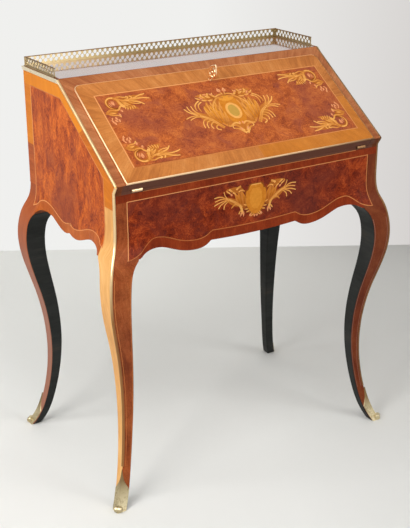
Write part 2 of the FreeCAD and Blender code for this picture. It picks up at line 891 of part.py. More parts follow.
def gallery_run(length):
    # A straight run of pierced fence along X, standing on the top: base strip, fence and round bead.
    base_top = case_height + gallery_base_height
    bead_centre = case_height + gallery_height - gallery_bead_radius
    band = bead_centre - gallery_bead_radius - base_top
    count = int(length / gallery_hole_spacing)
    first = (length - count * gallery_hole_spacing) / 2
    holes = []
    for row in range(2):
        height = base_top + band * (1 + row * 2) / 4
        for step in range(count - row):
            along = first + gallery_hole_spacing * (step + (1 + row) / 2)
            circle = Part.makeCircle(gallery_hole_radius, point(along, 0, height), Y_AXIS)
            holes.append(Part.Wire(circle))
    outline = Part.makePolygon([point(0, 0, case_height), point(length, 0, case_height),
                                point(length, 0, bead_centre), point(0, 0, bead_centre),
                                point(0, 0, case_height)])
    face = Part.makeFace([outline] + holes, "Part::FaceMakerBullseye")
    face.translate(point(0, -gallery_thickness / 2, 0))
    fence = face.extrude(point(0, gallery_thickness, 0))
    base = box(0, length, -gallery_base_width / 2, gallery_base_width / 2, case_height, base_top)
    bead = Part.makeCylinder(gallery_bead_radius, length, point(0, 0, bead_centre), X_AXIS)
    return fence.fuse([base, bead]).removeSplitter()


def gallery_back():
    length = (half_width - gallery_inset) * 2 + gallery_base_width
    run = gallery_run(length)
    run.translate(point(-length / 2, half_depth - gallery_inset, 0))
    return run


def gallery_side(side):
    end = half_depth - gallery_inset - gallery_base_width / 2
    start = slope_y_at(case_height) + gallery_setback
    run = gallery_run(end - start)
    run.rotate(point(0, 0, 0), Z_AXIS, 90)
    run.translate(point(side * (half_width - gallery_inset), start, 0))
    return run


sides = (("left", -1), ("right", 1))
ends = (("front", -1), ("back", 1))
bays = (("left", -1), ("centre", 0), ("right", 1))

nodes = {
    "front_apron": front_apron(),
    "front_rail": front_rail(),
    "back_panel": back_panel(),
    "case_bottom": case_bottom(),
    "top_board": top_board(),
    "lock_rail": lock_rail(),
    "strike_plate": strike_plate(),
    "writing_bed": writing_bed(),
    "well_lid": well_lid(),
    "well_back": well_back(),
    "nest_shelf": nest_shelf(),
    "top_moulding": top_moulding(),
    "gallery_back": gallery_back(),
    "fall_panel": fall_panel(),
    "fall_moulding": fall_moulding(),
    "writing_leather": writing_leather(),
    "lock_case": lock_case(),
    "lock_bolt": lock_bolt(),
    "key": key(),
    "hinge_pins": Part.makeCompound(hinge_pins()),
    "hinge_screws_case": Part.makeCompound(hinge_screws_case()),
    "hinge_screws_fall": Part.makeCompound(hinge_screws_fall()),
}
for side_name, side in sides:
    nodes["side_panel_" + side_name] = side_panel(side)
    nodes["slope_stile_" + side_name] = slope_stile(side)
    nodes["slope_strip_" + side_name] = slope_strip(side)
    nodes["leg_strip_" + side_name] = leg_strip(side)
    nodes["well_side_" + side_name] = well_side(side)
    nodes["nest_divider_" + side_name] = nest_divider(side)
    nodes["nest_partition_" + side_name] = nest_partition(side)
    nodes["gallery_" + side_name] = gallery_side(side)
    nodes["hinge_" + side_name + "_case_leaf"] = hinge_case_leaf(side * hinge_offset)
    nodes["hinge_" + side_name + "_fall_leaf"] = hinge_fall_leaf(side * hinge_offset)
    for end_name, end in ends:
        nodes["leg_" + end_name + "_" + side_name] = leg(side, end)
        nodes["sabot_" + end_name + "_" + side_name] = sabot(side, end)
for bay_name, bay in bays:
    nodes["drawer_" + bay_name + "_front"] = drawer_front(bay)
    nodes["drawer_" + bay_name + "_box"] = drawer_box(bay)
    nodes["drawer_" + bay_name + "_knob"] = drawer_knob(bay)

os.makedirs("parts", exist_ok=True)
for name, shape in nodes.items():
    shape.exportStep("parts/" + name + ".step")
    print(name, len(shape.Solids), round(shape.Volume), shape.isValid())
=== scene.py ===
import json
import math

import bmesh
import bpy
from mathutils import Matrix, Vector
from mathutils.bvhtree import BVHTree


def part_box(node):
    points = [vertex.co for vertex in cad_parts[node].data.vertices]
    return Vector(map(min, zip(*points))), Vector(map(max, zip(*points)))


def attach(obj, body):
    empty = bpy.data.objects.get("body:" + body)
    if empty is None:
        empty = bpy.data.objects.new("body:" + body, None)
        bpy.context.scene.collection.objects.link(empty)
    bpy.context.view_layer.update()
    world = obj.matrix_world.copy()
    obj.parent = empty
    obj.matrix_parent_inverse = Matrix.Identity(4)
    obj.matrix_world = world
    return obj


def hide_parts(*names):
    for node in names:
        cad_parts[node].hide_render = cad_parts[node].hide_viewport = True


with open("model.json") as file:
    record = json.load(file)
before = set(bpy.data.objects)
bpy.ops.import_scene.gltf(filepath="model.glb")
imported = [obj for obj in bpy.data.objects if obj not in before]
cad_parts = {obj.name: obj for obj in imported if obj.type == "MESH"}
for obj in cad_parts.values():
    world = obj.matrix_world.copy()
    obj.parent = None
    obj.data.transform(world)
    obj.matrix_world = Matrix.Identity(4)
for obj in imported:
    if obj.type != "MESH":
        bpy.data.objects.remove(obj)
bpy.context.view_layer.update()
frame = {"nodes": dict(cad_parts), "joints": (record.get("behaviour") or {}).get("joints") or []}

nodes = frame["nodes"]
joints = {joint["name"]: joint for joint in frame["joints"]}
mm = 0.001
bothSides = (("left", -1), ("right", 1))

# the slope's own axes: across, up the slope and straight out of it
hingeLine = Vector(joints["fall_hinge"]["pos_m"])
slopeUp = Vector(joints["bolt_slide"]["axis"]).normalized()
slopeOut = Vector(joints["key_turn"]["axis"]).normalized()
rightward, upward = Vector((1, 0, 0)), Vector((0, 0, 1))


def onSlope(across, up, out):
    return hingeLine + Vector((across, 0, 0)) + slopeUp * up + slopeOut * out


def reachAlong(node, direction):
    # how far a node reaches from the hinge line in one direction, lowest and highest
    values = [(vertex.co - hingeLine).dot(direction) for vertex in nodes[node].data.vertices]
    return min(values), max(values)


slopeFace = reachAlong("slope_stile_left", slopeOut)[1]
fallFace = reachAlong("fall_panel", slopeOut)[1]
fallTop = reachAlong("fall_panel", slopeUp)[1]
fallSide = reachAlong("fall_panel", rightward)[1]
fallFoot = reachAlong("fall_moulding", slopeUp)[0]
lipSide = reachAlong("fall_moulding", rightward)[1]
brow = reachAlong("slope_strip_left", slopeUp)[1]
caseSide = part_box("top_board")[1].x
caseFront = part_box("front_rail")[0].y
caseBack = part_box("top_board")[1].y
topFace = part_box("top_board")[1].z
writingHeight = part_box("front_rail")[1].z
print("frame read: slope face", round(slopeFace / mm, 2), "fall top", round(fallTop / mm, 2))


# colours and small node helpers

def tint(red, green, blue):
    # a colour in 0-255 screen values
    def linear(value):
        share = value / 255
        return share / 12.92 if share <= 0.04045 else ((share + 0.055) / 1.055) ** 2.4
    return (linear(red), linear(green), linear(blue), 1)


def tints(*colours):
    return [tint(*colour) for colour in colours]


def put(tree, kind, inputs=None, **settings):
    node = tree.nodes.new(kind)
    for key, value in settings.items():
        setattr(node, key, value)
    for key, value in (inputs or {}).items():
        if isinstance(value, bpy.types.NodeSocket):
            tree.links.new(value, node.inputs[key])
        else:
            node.inputs[key].default_value = value
    return node


def maths(tree, operation, first, second=0.0, third=None):
    inputs = {0: first, 1: second}
    if third is not None:
        inputs[2] = third
    return put(tree, "ShaderNodeMath", inputs, operation=operation).outputs[0]


def mixColour(tree, factor, first, second):
    return put(tree, "ShaderNodeMix", {0: factor, 6: first, 7: second}, data_type="RGBA").outputs[2]


def span(tree, value, low, high, start=0.0, end=1.0):
    node = put(tree, "ShaderNodeMapRange", {0: value, 1: low, 2: high, 3: start, 4: end})
    return node.outputs[0]


def colourRamp(tree, factor, stops):
    node = put(tree, "ShaderNodeValToRGB", {0: factor})
    elements = node.color_ramp.elements
    while len(elements) < len(stops):
        elements.new(1.0)
    for element, (place, colour) in zip(elements, stops):
        element.position = place
        element.color = colour
    return node.outputs[0]


def newGroup(name, inputs, outputs):
    tree = bpy.data.node_groups.new(name, "ShaderNodeTree")
    for label, kind, value in inputs:
        socket = tree.interface.new_socket(name=label, in_out="INPUT", socket_type="NodeSocket" + kind)
        if value is not None:
            socket.default_value = value
    for label in outputs:
        tree.interface.new_socket(name=label, in_out="OUTPUT", socket_type="NodeSocketFloat")
    return tree, put(tree, "NodeGroupInput").outputs, put(tree, "NodeGroupOutput").inputs


def give(tree, outlet, **values):
    # links what a group hands out; gives the group
    for label, value in values.items():
        tree.links.new(value, outlet[label])
    return tree


def stretched(tree, vector, scale):
    return put(tree, "ShaderNodeMapping", {"Vector": vector, "Scale": scale}).outputs[0]


def noise(tree, vector, scale, detail=3.0, roughness=0.55, distortion=0.0):
    node = put(tree, "ShaderNodeTexNoise", {"Vector": vector, "Scale": scale, "Detail": detail,
                                            "Roughness": roughness, "Distortion": distortion})
    return node.outputs[0]


def scaled(tree, vector, factor):
    return put(tree, "ShaderNodeVectorMath", {0: vector, 3: factor}, operation="SCALE").outputs[0]


def combined(tree, operation, first, second):
    return put(tree, "ShaderNodeVectorMath", {0: first, 1: second}, operation=operation).outputs[0]


def along(tree, vector, axis):
    # how far a point lies along an axis
    return put(tree, "ShaderNodeVectorMath", {0: vector, 1: axis}, operation="DOT_PRODUCT").outputs[1]


# shared effects

def makeBurrFigure():
    # swirling burr: drifting clouds, tight curls and clusters of small dark eyes
    tree, inlet, outlet = newGroup("burrFigure", [("Vector", "Vector", None), ("Scale", "Float", 1.0)],
                                   ["Tone", "Eyes", "Shadow", "Height"])
    vector = scaled(tree, inlet["Vector"], inlet["Scale"])
    drift = put(tree, "ShaderNodeTexNoise", {"Vector": vector, "Scale": 13.0, "Detail": 2.0}).outputs[1]
    drift = scaled(tree, combined(tree, "SUBTRACT", drift, (0.5, 0.5, 0.5)), 0.06)
    vector = combined(tree, "ADD", vector, drift)
    cloud = noise(tree, vector, 26.0, 3.0, 0.55, 0.5)
    curl = noise(tree, vector, 92.0, 5.0, 0.64, 2.2)
    fleck = noise(tree, vector, 360.0, 2.0)
    cells = put(tree, "ShaderNodeTexVoronoi", {"Vector": vector, "Scale": 150.0}).outputs["Distance"]
    patch = span(tree, noise(tree, vector, 30.0, 1.0), 0.48, 0.62)
    eyes = maths(tree, "MULTIPLY", span(tree, cells, 0.34, 0.1), patch)
    shadow = span(tree, noise(tree, vector, 11.0, 3.0, 0.6, 0.8), 0.5, 0.68)
    tone = maths(tree, "MULTIPLY_ADD", curl, 0.6, maths(tree, "MULTIPLY", cloud, 0.5))
    tone = maths(tree, "MULTIPLY_ADD", fleck, 0.24, tone)
    return give(tree, outlet, Tone=span(tree, tone, 0.53, 0.81), Eyes=eyes, Shadow=shadow,
                Height=maths(tree, "SUBTRACT", fleck, eyes))


def makeStreakGrain():
    # straight grain that runs along the vector's second axis
    tree, inlet, outlet = newGroup("streakGrain",
                                   [("Vector", "Vector", None), ("Fineness", "Float", 1.0)],
                                   ["Tone", "Pores", "Height"])
    vector = scaled(tree, inlet["Vector"], inlet["Fineness"])
    broad = noise(tree, stretched(tree, vector, (46, 8, 46)), 1.0, 3.0, 0.6, 0.7)
    fine = noise(tree, stretched(tree, vector, (310, 26, 310)), 1.0, 3.0, 0.6, 0.3)
    hair = noise(tree, stretched(tree, vector, (900, 50, 900)), 1.0, 2.0)
    leaf = noise(tree, stretched(tree, vector, (9, 5, 9)), 1.0, 2.0)
    tone = maths(tree, "MULTIPLY_ADD", fine, 0.3, maths(tree, "MULTIPLY", broad, 0.4))
    tone = maths(tree, "MULTIPLY_ADD", leaf, 0.5, tone)
    return give(tree, outlet, Tone=span(tree, tone, 0.4, 0.8), Pores=span(tree, hair, 0.6, 0.72),
                Height=maths(tree, "MULTIPLY_ADD", hair, -0.6, fine))


def makePolishMarks():
    # faint smears and dull spots in an old polish
    tree, inlet, outlet = newGroup("polishMarks", [("Vector", "Vector", None), ("Amount", "Float", 0.1)],
                                   ["Dulling"])
    smear = noise(tree, stretched(tree, inlet["Vector"], (14, 14, 30)), 1.0, 4.0, 0.6, 0.5)
    spot = noise(tree, inlet["Vector"], 160.0, 2.0)
    dulling = maths(tree, "MULTIPLY_ADD", span(tree, spot, 0.62, 0.8), 0.5, span(tree, smear, 0.4, 0.75))
    return give(tree, outlet, Dulling=maths(tree, "MULTIPLY", dulling, inlet["Amount"]))


def makeTarnish():
    # brown bloom on old brass, with fine rubbing marks
    tree, inlet, outlet = newGroup("tarnish", [("Vector", "Vector", None), ("Spread", "Float", 0.5)],
                                   ["Bloom", "Rubbing"])
    vector = inlet["Vector"]
    broad = noise(tree, vector, 38.0, 5.0, 0.65, 0.6)
    small = noise(tree, vector, 240.0, 3.0, 0.6)
    bloom = maths(tree, "MULTIPLY_ADD", small, 0.45, maths(tree, "MULTIPLY", broad, 0.75))
    low = maths(tree, "SUBTRACT", 1.0, inlet["Spread"])
    bloom = span(tree, bloom, low, maths(tree, "ADD", low, 0.28))
    rubbing = noise(tree, stretched(tree, vector, (1, 1, 6)), 420.0, 2.0)
    return give(tree, outlet, Bloom=bloom, Rubbing=rubbing)


burrFigure = makeBurrFigure()
streakGrain = makeStreakGrain()
polishMarks = makePolishMarks()
tarnish = makeTarnish()


def useGroup(tree, group, inputs):
    return put(tree, "ShaderNodeGroup", inputs, node_tree=group).outputs


# materials

def newMaterial(name):
    material = bpy.data.materials.new(name)
    material.use_nodes = True
    tree = material.node_tree
    coords = put(tree, "ShaderNodeTexCoord")
    return material, tree, tree.nodes["Principled BSDF"], coords.outputs


def plug(tree, shader, **sockets):
    names = {"colour": "Base Color", "roughness": "Roughness", "metallic": "Metallic",
             "normal": "Normal"}
    for key, value in sockets.items():
        socket = shader.inputs[names[key]]
        if isinstance(value, bpy.types.NodeSocket):
            tree.links.new(value, socket)
        else:
            socket.default_value = value


def polish(tree, shader, vector, height, roughness=0.3, depth=0.12, mirror=False):
    # French polish, a thin clear coat on a soft gloss; a mirror polish is thick and glassy
    finish = {"Specular IOR Level": 0.05, "Coat Weight": 0.02, "Coat Roughness": 0.12}
    if mirror:
        roughness, depth = 0.08, 0.04
        finish = {"IOR": 2.2, "Specular IOR Level": 0.5, "Coat Weight": 1.0, "Coat Roughness": 0.05}
    marks = useGroup(tree, polishMarks, {"Vector": vector, "Amount": 0.1})
    bump = put(tree, "ShaderNodeBump", {"Height": height, "Strength": depth, "Distance": 0.0004})
    plug(tree, shader, roughness=maths(tree, "ADD", marks["Dulling"], roughness), normal=bump.outputs[0])
    for label, value in finish.items():
        shader.inputs[label].default_value = value


def burrVeneer(name, dark, middle, light, cloud, scale=1.0, stretch=(1, 1, 1), mirror=False):
    dark, middle, light, cloud = tints(dark, middle, light, cloud)
    material, tree, shader, coords = newMaterial(name)
    vector = stretched(tree, coords["Object"], stretch)
    figure = useGroup(tree, burrFigure, {"Vector": vector, "Scale": scale})
    colour = colourRamp(tree, figure["Tone"], [(0.0, dark), (0.5, middle), (1.0, light)])
    eyes = mixColour(tree, maths(tree, "MULTIPLY", figure["Eyes"], 0.7), colour, dark)
    broad = span(tree, noise(tree, vector, 8.0, 2.0), 0.44, 0.66, 0.0, 0.6)
    shadow = maths(tree, "MAXIMUM", maths(tree, "MULTIPLY", figure["Shadow"], 0.55), broad)
    plug(tree, shader, colour=mixColour(tree, shadow, eyes, cloud))
    polish(tree, shader, coords["Object"], figure["Height"], mirror=mirror)
    return material


def bandVeneer(name, dark, middle, light, bright, lengthwise=False, mirror=False, mottle=0.0):
    # the map's first axis runs along the band; the grain runs across it unless it is lengthwise
    dark, middle, light, bright = tints(dark, middle, light, bright)
    material, tree, shader, coords = newMaterial(name)
    vector = coords["UV"]
    if lengthwise:
        vector = put(tree, "ShaderNodeMapping",
                     {"Vector": vector, "Rotation": (0, 0, math.pi / 2)}).outputs[0]
    grain = useGroup(tree, streakGrain, {"Vector": vector, "Fineness": 1.0})
    colour = colourRamp(tree, grain["Tone"], [(0.0, dark), (0.5, middle), (1.0, light)])
    tone = put(tree, "ShaderNodeAttribute", attribute_name="tone").outputs["Fac"]
    glow = mixColour(tree, tone, colour, mixColour(tree, 0.7, colour, bright))
    pored = mixColour(tree, maths(tree, "MULTIPLY", grain["Pores"], 0.25), glow, dark)
    if mottle:
        # a band cut from burr is blotched with dark
        figure = useGroup(tree, burrFigure, {"Vector": coords["Object"], "Scale": 1.3})
        blotch = maths(tree, "MAXIMUM", maths(tree, "SUBTRACT", 1.0, figure["Tone"]), figure["Eyes"])
        pored = mixColour(tree, maths(tree, "MULTIPLY", blotch, mottle), pored, dark)
    plug(tree, shader, colour=pored)
    polish(tree, shader, coords["Object"], grain["Height"], mirror=mirror)
    return material


def plankWood(name, dark, light, grainAxis, roughness=0.5, heel=None):
    # plain board with its grain along one axis of the frame; its end along the hinges can be given a
    # flat greyish brown
    dark, light = tints(dark, light)
    material, tree, shader, coords = newMaterial(name)
    turns = {"x": (0, 0, math.pi / 2), "y": (0, 0, 0), "z": (math.pi / 2, 0, 0)}
    vector = put(tree, "ShaderNodeMapping",
                 {"Vector": coords["Object"], "Rotation": turns[grainAxis]}).outputs[0]
    grain = useGroup(tree, streakGrain, {"Vector": vector, "Fineness": 0.6})
    colour = colourRamp(tree, grain["Tone"], [(0.0, dark), (1.0, light)])
    colour = mixColour(tree, maths(tree, "MULTIPLY", grain["Pores"], 0.5), colour, dark)
    if heel:
        place = combined(tree, "SUBTRACT", coords["Object"], hingeLine)
        below = maths(tree, "LESS_THAN", along(tree, place, slopeUp), 0.8 * mm)
        above = maths(tree, "GREATER_THAN", along(tree, place, upward), -22 * mm)
        colour = mixColour(tree, maths(tree, "MULTIPLY", below, above), colour, tint(*heel))
    plug(tree, shader, colour=colour)
    polish(tree, shader, coords["Object"], grain["Height"], roughness, 0.2)
    return material


def inlayWood(name, dark, middle, light):
    # each slip is mapped from root to tip, scorched towards its root and along its vein
    dark, middle, light = tints(dark, middle, light)
    material, tree, shader, coords = newMaterial(name)
    parts = put(tree, "ShaderNodeSeparateXYZ", {0: coords["UV"]}).outputs
    grain = noise(tree, coords["Object"], 260.0, 3.0)
    tone = put(tree, "ShaderNodeAttribute", attribute_name="tone").outputs["Fac"]
    cloud = maths(tree, "ADD", grain, noise(tree, coords["Object"], 110.0, 2.0))
    lift = maths(tree, "MULTIPLY_ADD", cloud, 0.4, maths(tree, "MULTIPLY_ADD", parts[0], 0.7, tone))
    colour = colourRamp(tree, span(tree, lift, 0.45, 1.5), [(0.0, dark), (0.4, middle), (1.0, light)])
    aside = maths(tree, "ABSOLUTE", maths(tree, "SUBTRACT", parts[1], 0.5))
    vein = span(tree, aside, 0.02, 0.1, 0.35, 0.0)
    plug(tree, shader, colour=mixColour(tree, vein, colour, dark))
    polish(tree, shader, coords["Object"], grain, depth=0.1)
    return material


def ebonised(name):
    material, tree, shader, coords = newMaterial(name)
    grain = useGroup(tree, streakGrain, {"Vector": coords["UV"], "Fineness": 0.8})
    colour = colourRamp(tree, grain["Tone"], [(0.0, tint(34, 35, 34)), (0.7, tint(50, 51, 49)),
                                              (1.0, tint(64, 58, 52))])
    plug(tree, shader, colour=colour)
    polish(tree, shader, coords["Object"], grain["Height"], 0.36, 0.25)
    return material


def brass(name, bright, dull, roughness, spread, paintedLight=None):
    # old brass; along a direction it can carry painted light, bright at one place and dull at another
    bright, dull = tints(bright, dull)
    material, tree, shader, coords = newMaterial(name)
    marks = useGroup(tree, tarnish, {"Vector": coords["Object"], "Spread": spread})
    bloom = marks["Bloom"]
    if paintedLight:
        direction, start, end = paintedLight
        # the painted light dulls the brass just as the tarnish does
        bloom = maths(tree, "MAXIMUM", bloom,
                      span(tree, along(tree, coords["Object"], direction), start, end))
    plug(tree, shader, metallic=1.0, colour=mixColour(tree, bloom, bright, dull))
    rough = maths(tree, "MULTIPLY_ADD", bloom, 0.2, roughness)
    rough = maths(tree, "MULTIPLY_ADD", marks["Rubbing"], 0.08, rough)
    bump = put(tree, "ShaderNodeBump",
               {"Height": marks["Rubbing"], "Strength": 0.04, "Distance": 0.0003})
    plug(tree, shader, roughness=rough, normal=bump.outputs[0])
    return material


def gildedLeather(name, dark, light):
    dark, light = tints(dark, light)
    material, tree, shader, coords = newMaterial(name)
    creases = put(tree, "ShaderNodeTexVoronoi", {"Vector": coords["Object"], "Scale": 900.0},
                  feature="DISTANCE_TO_EDGE").outputs[0]
    patch = noise(tree, coords["Object"], 12.0, 4.0, 0.6)
    colour = colourRamp(tree, span(tree, patch, 0.3, 0.7), [(0.0, dark), (1.0, light)])
    plug(tree, shader, colour=mixColour(tree, span(tree, creases, 0.12, 0.0, 0.0, 0.5), colour, dark))
    bump = put(tree, "ShaderNodeBump", {"Height": span(tree, creases, 0.0, 0.25), "Strength": 0.35,
                                        "Distance": 0.0004})
    plug(tree, shader, roughness=span(tree, patch, 0.2, 0.8, 0.42, 0.6), normal=bump.outputs[0])
    return material


fallBurr = burrVeneer("fallBurr", (132, 58, 34), (182, 92, 44), (212, 120, 58), (138, 70, 58), 1.4)
sideBurr = burrVeneer("sideBurr", (112, 34, 16), (182, 82, 28), (222, 116, 40), (132, 60, 40), 1.2,
                      (1.3, 1.3, 0.6))
apronBurr = burrVeneer("apronBurr", (82, 24, 12), (136, 48, 20), (184, 80, 36), (96, 44, 38), 1.6)
drawerBurr = burrVeneer("drawerBurr", (96, 40, 20), (160, 82, 38), (200, 120, 58), (110, 52, 34), 1.2)
topBurr = burrVeneer("topBurr", (84, 36, 24), (128, 62, 38), (160, 88, 54), (90, 44, 34), mirror=True)
goldBand = bandVeneer("goldBand", (150, 82, 40), (202, 127, 65), (222, 153, 88), (206, 124, 32),
                      mottle=0.32)
redBand = bandVeneer("redBand", (96, 28, 14), (144, 50, 22), (170, 72, 34), (190, 110, 44),
                     mottle=0.5)
rimBand = bandVeneer("rimBand", (124, 60, 36), (182, 113, 69), (208, 143, 96), (206, 140, 90),
                     mottle=0.35)
sideBand = bandVeneer("sideBand", (172, 82, 18), (198, 108, 28), (218, 134, 40), (230, 142, 28))
topBand = bandVeneer("topBand", (90, 40, 24), (128, 62, 36), (156, 84, 50), (180, 110, 60), mirror=True)
lowBand = bandVeneer("lowBand", (132, 54, 22), (182, 88, 38), (206, 116, 58), (206, 120, 50),
                     mottle=0.45)
legRed = bandVeneer("legRed", (88, 32, 19), (164, 82, 42), (194, 110, 60), (78, 34, 25), True,
                    mottle=0.55)
# on the back legs' sides the tone paints a sheen, paler and greyer towards the foot
legPaintedSheen = bandVeneer("legPaintedSheen", (134, 58, 28), (166, 82, 40), (190, 106, 58), (154, 114, 98), True)
legGold = bandVeneer("legGold", (198, 136, 74), (226, 168, 100), (246, 204, 140), (222, 158, 92), True)
boxLine = inlayWood("boxLine", (170, 92, 46), (204, 126, 70), (226, 156, 98))
dimLine = inlayWood("dimLine", (124, 82, 66), (154, 108, 90), (174, 126, 106))
goldInlay = inlayWood("goldInlay", (158, 82, 30), (214, 138, 60), (244, 182, 98))
amberInlay = inlayWood("amberInlay", (166, 86, 22), (206, 124, 36), (236, 162, 62))
roseInlay = inlayWood("roseInlay", (170, 88, 50), (216, 134, 84), (236, 164, 112))
shadeInlay = inlayWood("shadeInlay", (136, 68, 24), (180, 100, 36), (206, 126, 52))
oliveInlay = inlayWood("oliveInlay", (146, 100, 40), (186, 140, 58), (206, 162, 80))
blackLeg = ebonised("blackLeg")
innerWood = plankWood("innerWood", (84, 40, 22), (142, 78, 44), "x", 0.42, (104, 66, 52))
innerUpright = plankWood("innerUpright", (84, 40, 22), (142, 78, 44), "z", 0.42)
plainOak = plankWood("plainOak", (140, 100, 62), (186, 146, 98), "y", 0.62)
backBoard = plankWood("backBoard", (78, 52, 34), (126, 88, 56), "x", 0.68)
giltBrass = brass("giltBrass", (236, 218, 172), (186, 160, 104), 0.22, 0.4)
# bright high on the corner strip and dull lower down: painted highlight above, painted shade below
stripBrass = brass("stripBrass", (246, 214, 162), (156, 110, 68), 0.26, 0.28,
                   (upward, 580 * mm, 460 * mm))
beadBrass = brass("beadBrass", (214, 182, 136), (188, 152, 102), 0.28, 0.26)
# bright at the left and dull towards the right: painted light and shade on the lip, the key and the
# hinges
lipBrass = brass("lipBrass", (244, 210, 166), (152, 112, 74), 0.28, 0.26, (rightward, 0.0, 320 * mm))
# a duller, warmer brass, painted shade on the top of the fall's lip
lipTopShadeBrass = brass("lipTopShadeBrass", (240, 186, 132), (214, 160, 108), 0.36, 0.3)
# bright at the left end of the back gallery, dull from there to the right: a painted highlight
fenceBrass = brass("fenceBrass", (226, 206, 160), (166, 146, 104), 0.36, 0.36,
                   (rightward, -340 * mm, -60 * mm))
endBrass = brass("endBrass", (180, 160, 124), (126, 108, 78), 0.36, 0.4)
edgeBrass = brass("edgeBrass", (246, 232, 200), (190, 168, 122), 0.28, 0.4)
# dim brass: painted shade on the right corner strip, the right slope bead and the lip's right edge; the
# gallery's top rods use it too
dimBrass = brass("dimBrass", (140, 104, 70), (100, 72, 48), 0.42, 0.4)
# dull above and bright at the toe: a painted highlight on the toe
shoeBrass = brass("shoeBrass", (214, 200, 162), (140, 118, 82), 0.27, 0.5, (upward, 22 * mm, 62 * mm))
plainBrass = brass("plainBrass", (206, 182, 124), (120, 98, 56), 0.3, 0.56)
oldSteel = brass("oldSteel", (150, 150, 146), (84, 74, 62), 0.36, 0.5)
deskLeather = gildedLeather("deskLeather", (52, 24, 18), (104, 44, 30))
print("materials ready:", len(bpy.data.materials))


# mesh helpers

def newPiece(name, points, faces, uvs=None, tones=None):
    mesh = bpy.data.meshes.new(name)
    mesh.from_pydata(points, [], faces)
    if uvs:
        layer = mesh.uv_layers.new(name="grain")
        for loop in mesh.loops:
            layer.data[loop.index].uv = uvs[loop.vertex_index]
    if tones:
        mesh.attributes.new("tone", "FLOAT", "POINT").data.foreach_set("value", tones)
    mesh.update()
    piece = bpy.data.objects.new(name, mesh)
    bpy.context.scene.collection.objects.link(piece)
    return piece


def settle(piece, body, slot, *materials, replaced=()):
    for material in materials:
        piece.data.materials.append(material)
    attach(piece, body)
    if replaced:
        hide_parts(*replaced)
    return piece


def baked(piece):
    # the evaluated mesh takes the place of the modifiers
    shown = piece.evaluated_get(bpy.context.evaluated_depsgraph_get())
    mesh = bpy.data.meshes.new_from_object(shown)
    piece.modifiers.clear()
    piece.data = mesh
    return piece


def thicken(piece, thickness):
    # a sheet of veneer gets its thickness inwards, into the board that carries it
    modifier = piece.modifiers.new("thickness", "SOLIDIFY")
    modifier.thickness = thickness
    modifier.offset = -1
    return baked(piece)


def smoothOver(piece, degrees):
    piece.data.shade_smooth()
    piece.data.set_sharp_from_angle(angle=math.radians(degrees))
    return piece


class Sheet:
    # flat veneers gathered before they are laid on the desk; places are in metres on the face
    def __init__(self):
        self.points, self.lifts, self.faces, self.uvs, self.tones = [], [], [], [], []

    def add(self, place, tone, lift, uv):
        self.points.append(place)
        self.tones.append(tone)
        self.lifts.append(lift)
        self.uvs.append(uv)

    def grid(self, rows, tone=0.0, lift=0.0, uvs=None):
        # rows of points, each as long as the first
        start = len(self.points)
        width = len(rows[0])
        down = 0.0
        for index, row in enumerate(rows):
            if index:
                down += math.dist(row[0], rows[index - 1][0])
            across = 0.0
            for column, place in enumerate(row):
                if column:
                    across += math.dist(place, row[column - 1])
                self.add(place, tone, lift, uvs(index, column) if uvs else (down, across))
        for index in range(len(rows) - 1):
            for column in range(width - 1):
                first = start + index * width + column
                self.faces.append((first, first + 1, first + width + 1, first + width))

    def lay(self, name, place, outward):
        # place turns a flat point into a point in the frame
        laid = [place(*point) + outward * lift for point, lift in zip(self.points, self.lifts)]
        return newPiece(name, laid, self.faces, self.uvs, self.tones)


def between(first, second, count):
    return [tuple(Vector(first).lerp(Vector(second), step / count)) for step in range(count + 1)]


def ribbon(sheet, inner, outer, across, tone=0.0):
    # a band between two lines that have as many points as each other
    sheet.grid([between(a, b, across) for a, b in zip(inner, outer)], tone)


def straightBand(sheet, inner, outer, count, across, tone=0.0):
    # a band between two straight lines, each given by its ends
    ribbon(sheet, between(*inner, count), between(*outer, count), across, tone)


def offsetPath(path, distance, closed):
    # the path moved sideways, with mitred corners
    moved = []
    count = len(path)
    for index in range(count):
        here = Vector(path[index])
        before = Vector(path[index - 1]) if index or closed else None
        after = Vector(path[(index + 1) % count]) if index < count - 1 or closed else None
        normals = []
        for start, end in ((before, here), (here, after)):
            if start is not None and end is not None:
                step = (end - start).normalized()
                normals.append(Vector((-step.y, step.x)))
        normal = sum(normals, Vector((0, 0))).normalized()
        moved.append(tuple(here + normal * (distance / max(normal.dot(normals[0]), 0.4))))
    return moved


def frameBand(inner, outer, count, across):
    # four mitred bands between two oblongs
    bands = Sheet()
    for index in range(4):
        after = (index + 1) % 4
        straightBand(bands, (inner[index], inner[after]), (outer[index], outer[after]), count, across)
    return bands


def stringLine(sheet, path, width, closed=False, tone=0.3):
    inner = offsetPath(path, -width / 2, closed)
    outer = offsetPath(path, width / 2, closed)
    if closed:
        inner.append(inner[0])
        outer.append(outer[0])
    ribbon(sheet, inner, outer, 1, tone)


def faceOutwards(piece, outward):
    # turns the sheet's faces to look the way that outward points
    work = bmesh.new()
    work.from_mesh(piece.data)
    work.normal_update()
    bmesh.ops.reverse_faces(work, faces=[face for face in work.faces if face.normal.dot(outward) < 0])
    work.to_mesh(piece.data)
    work.free()
    piece.data.update()
    return piece


def skinOf(*names):
    points, faces = [], []
    for name in names:
        mesh = nodes[name].data
        start = len(points)
        points += [vertex.co.copy() for vertex in mesh.vertices]
        faces += [[start + index for index in face.vertices] for face in mesh.polygons]
    return BVHTree.FromPolygons(points, faces)


def ringFaces(width, count, closed=False):
    # faces over rings of points, row by row; an open skin gets end caps
    faces = []
    for row in range(count if closed else count - 1):
        first, second = row * width, (row + 1) % count * width
        for column in range(width):
            after = (column + 1) % width
            faces.append((first + column, first + after, second + after, second + column))
    if not closed:
        faces.append(tuple(reversed(range(width))))
        faces.append(tuple(range((count - 1) * width, count * width)))
    return faces


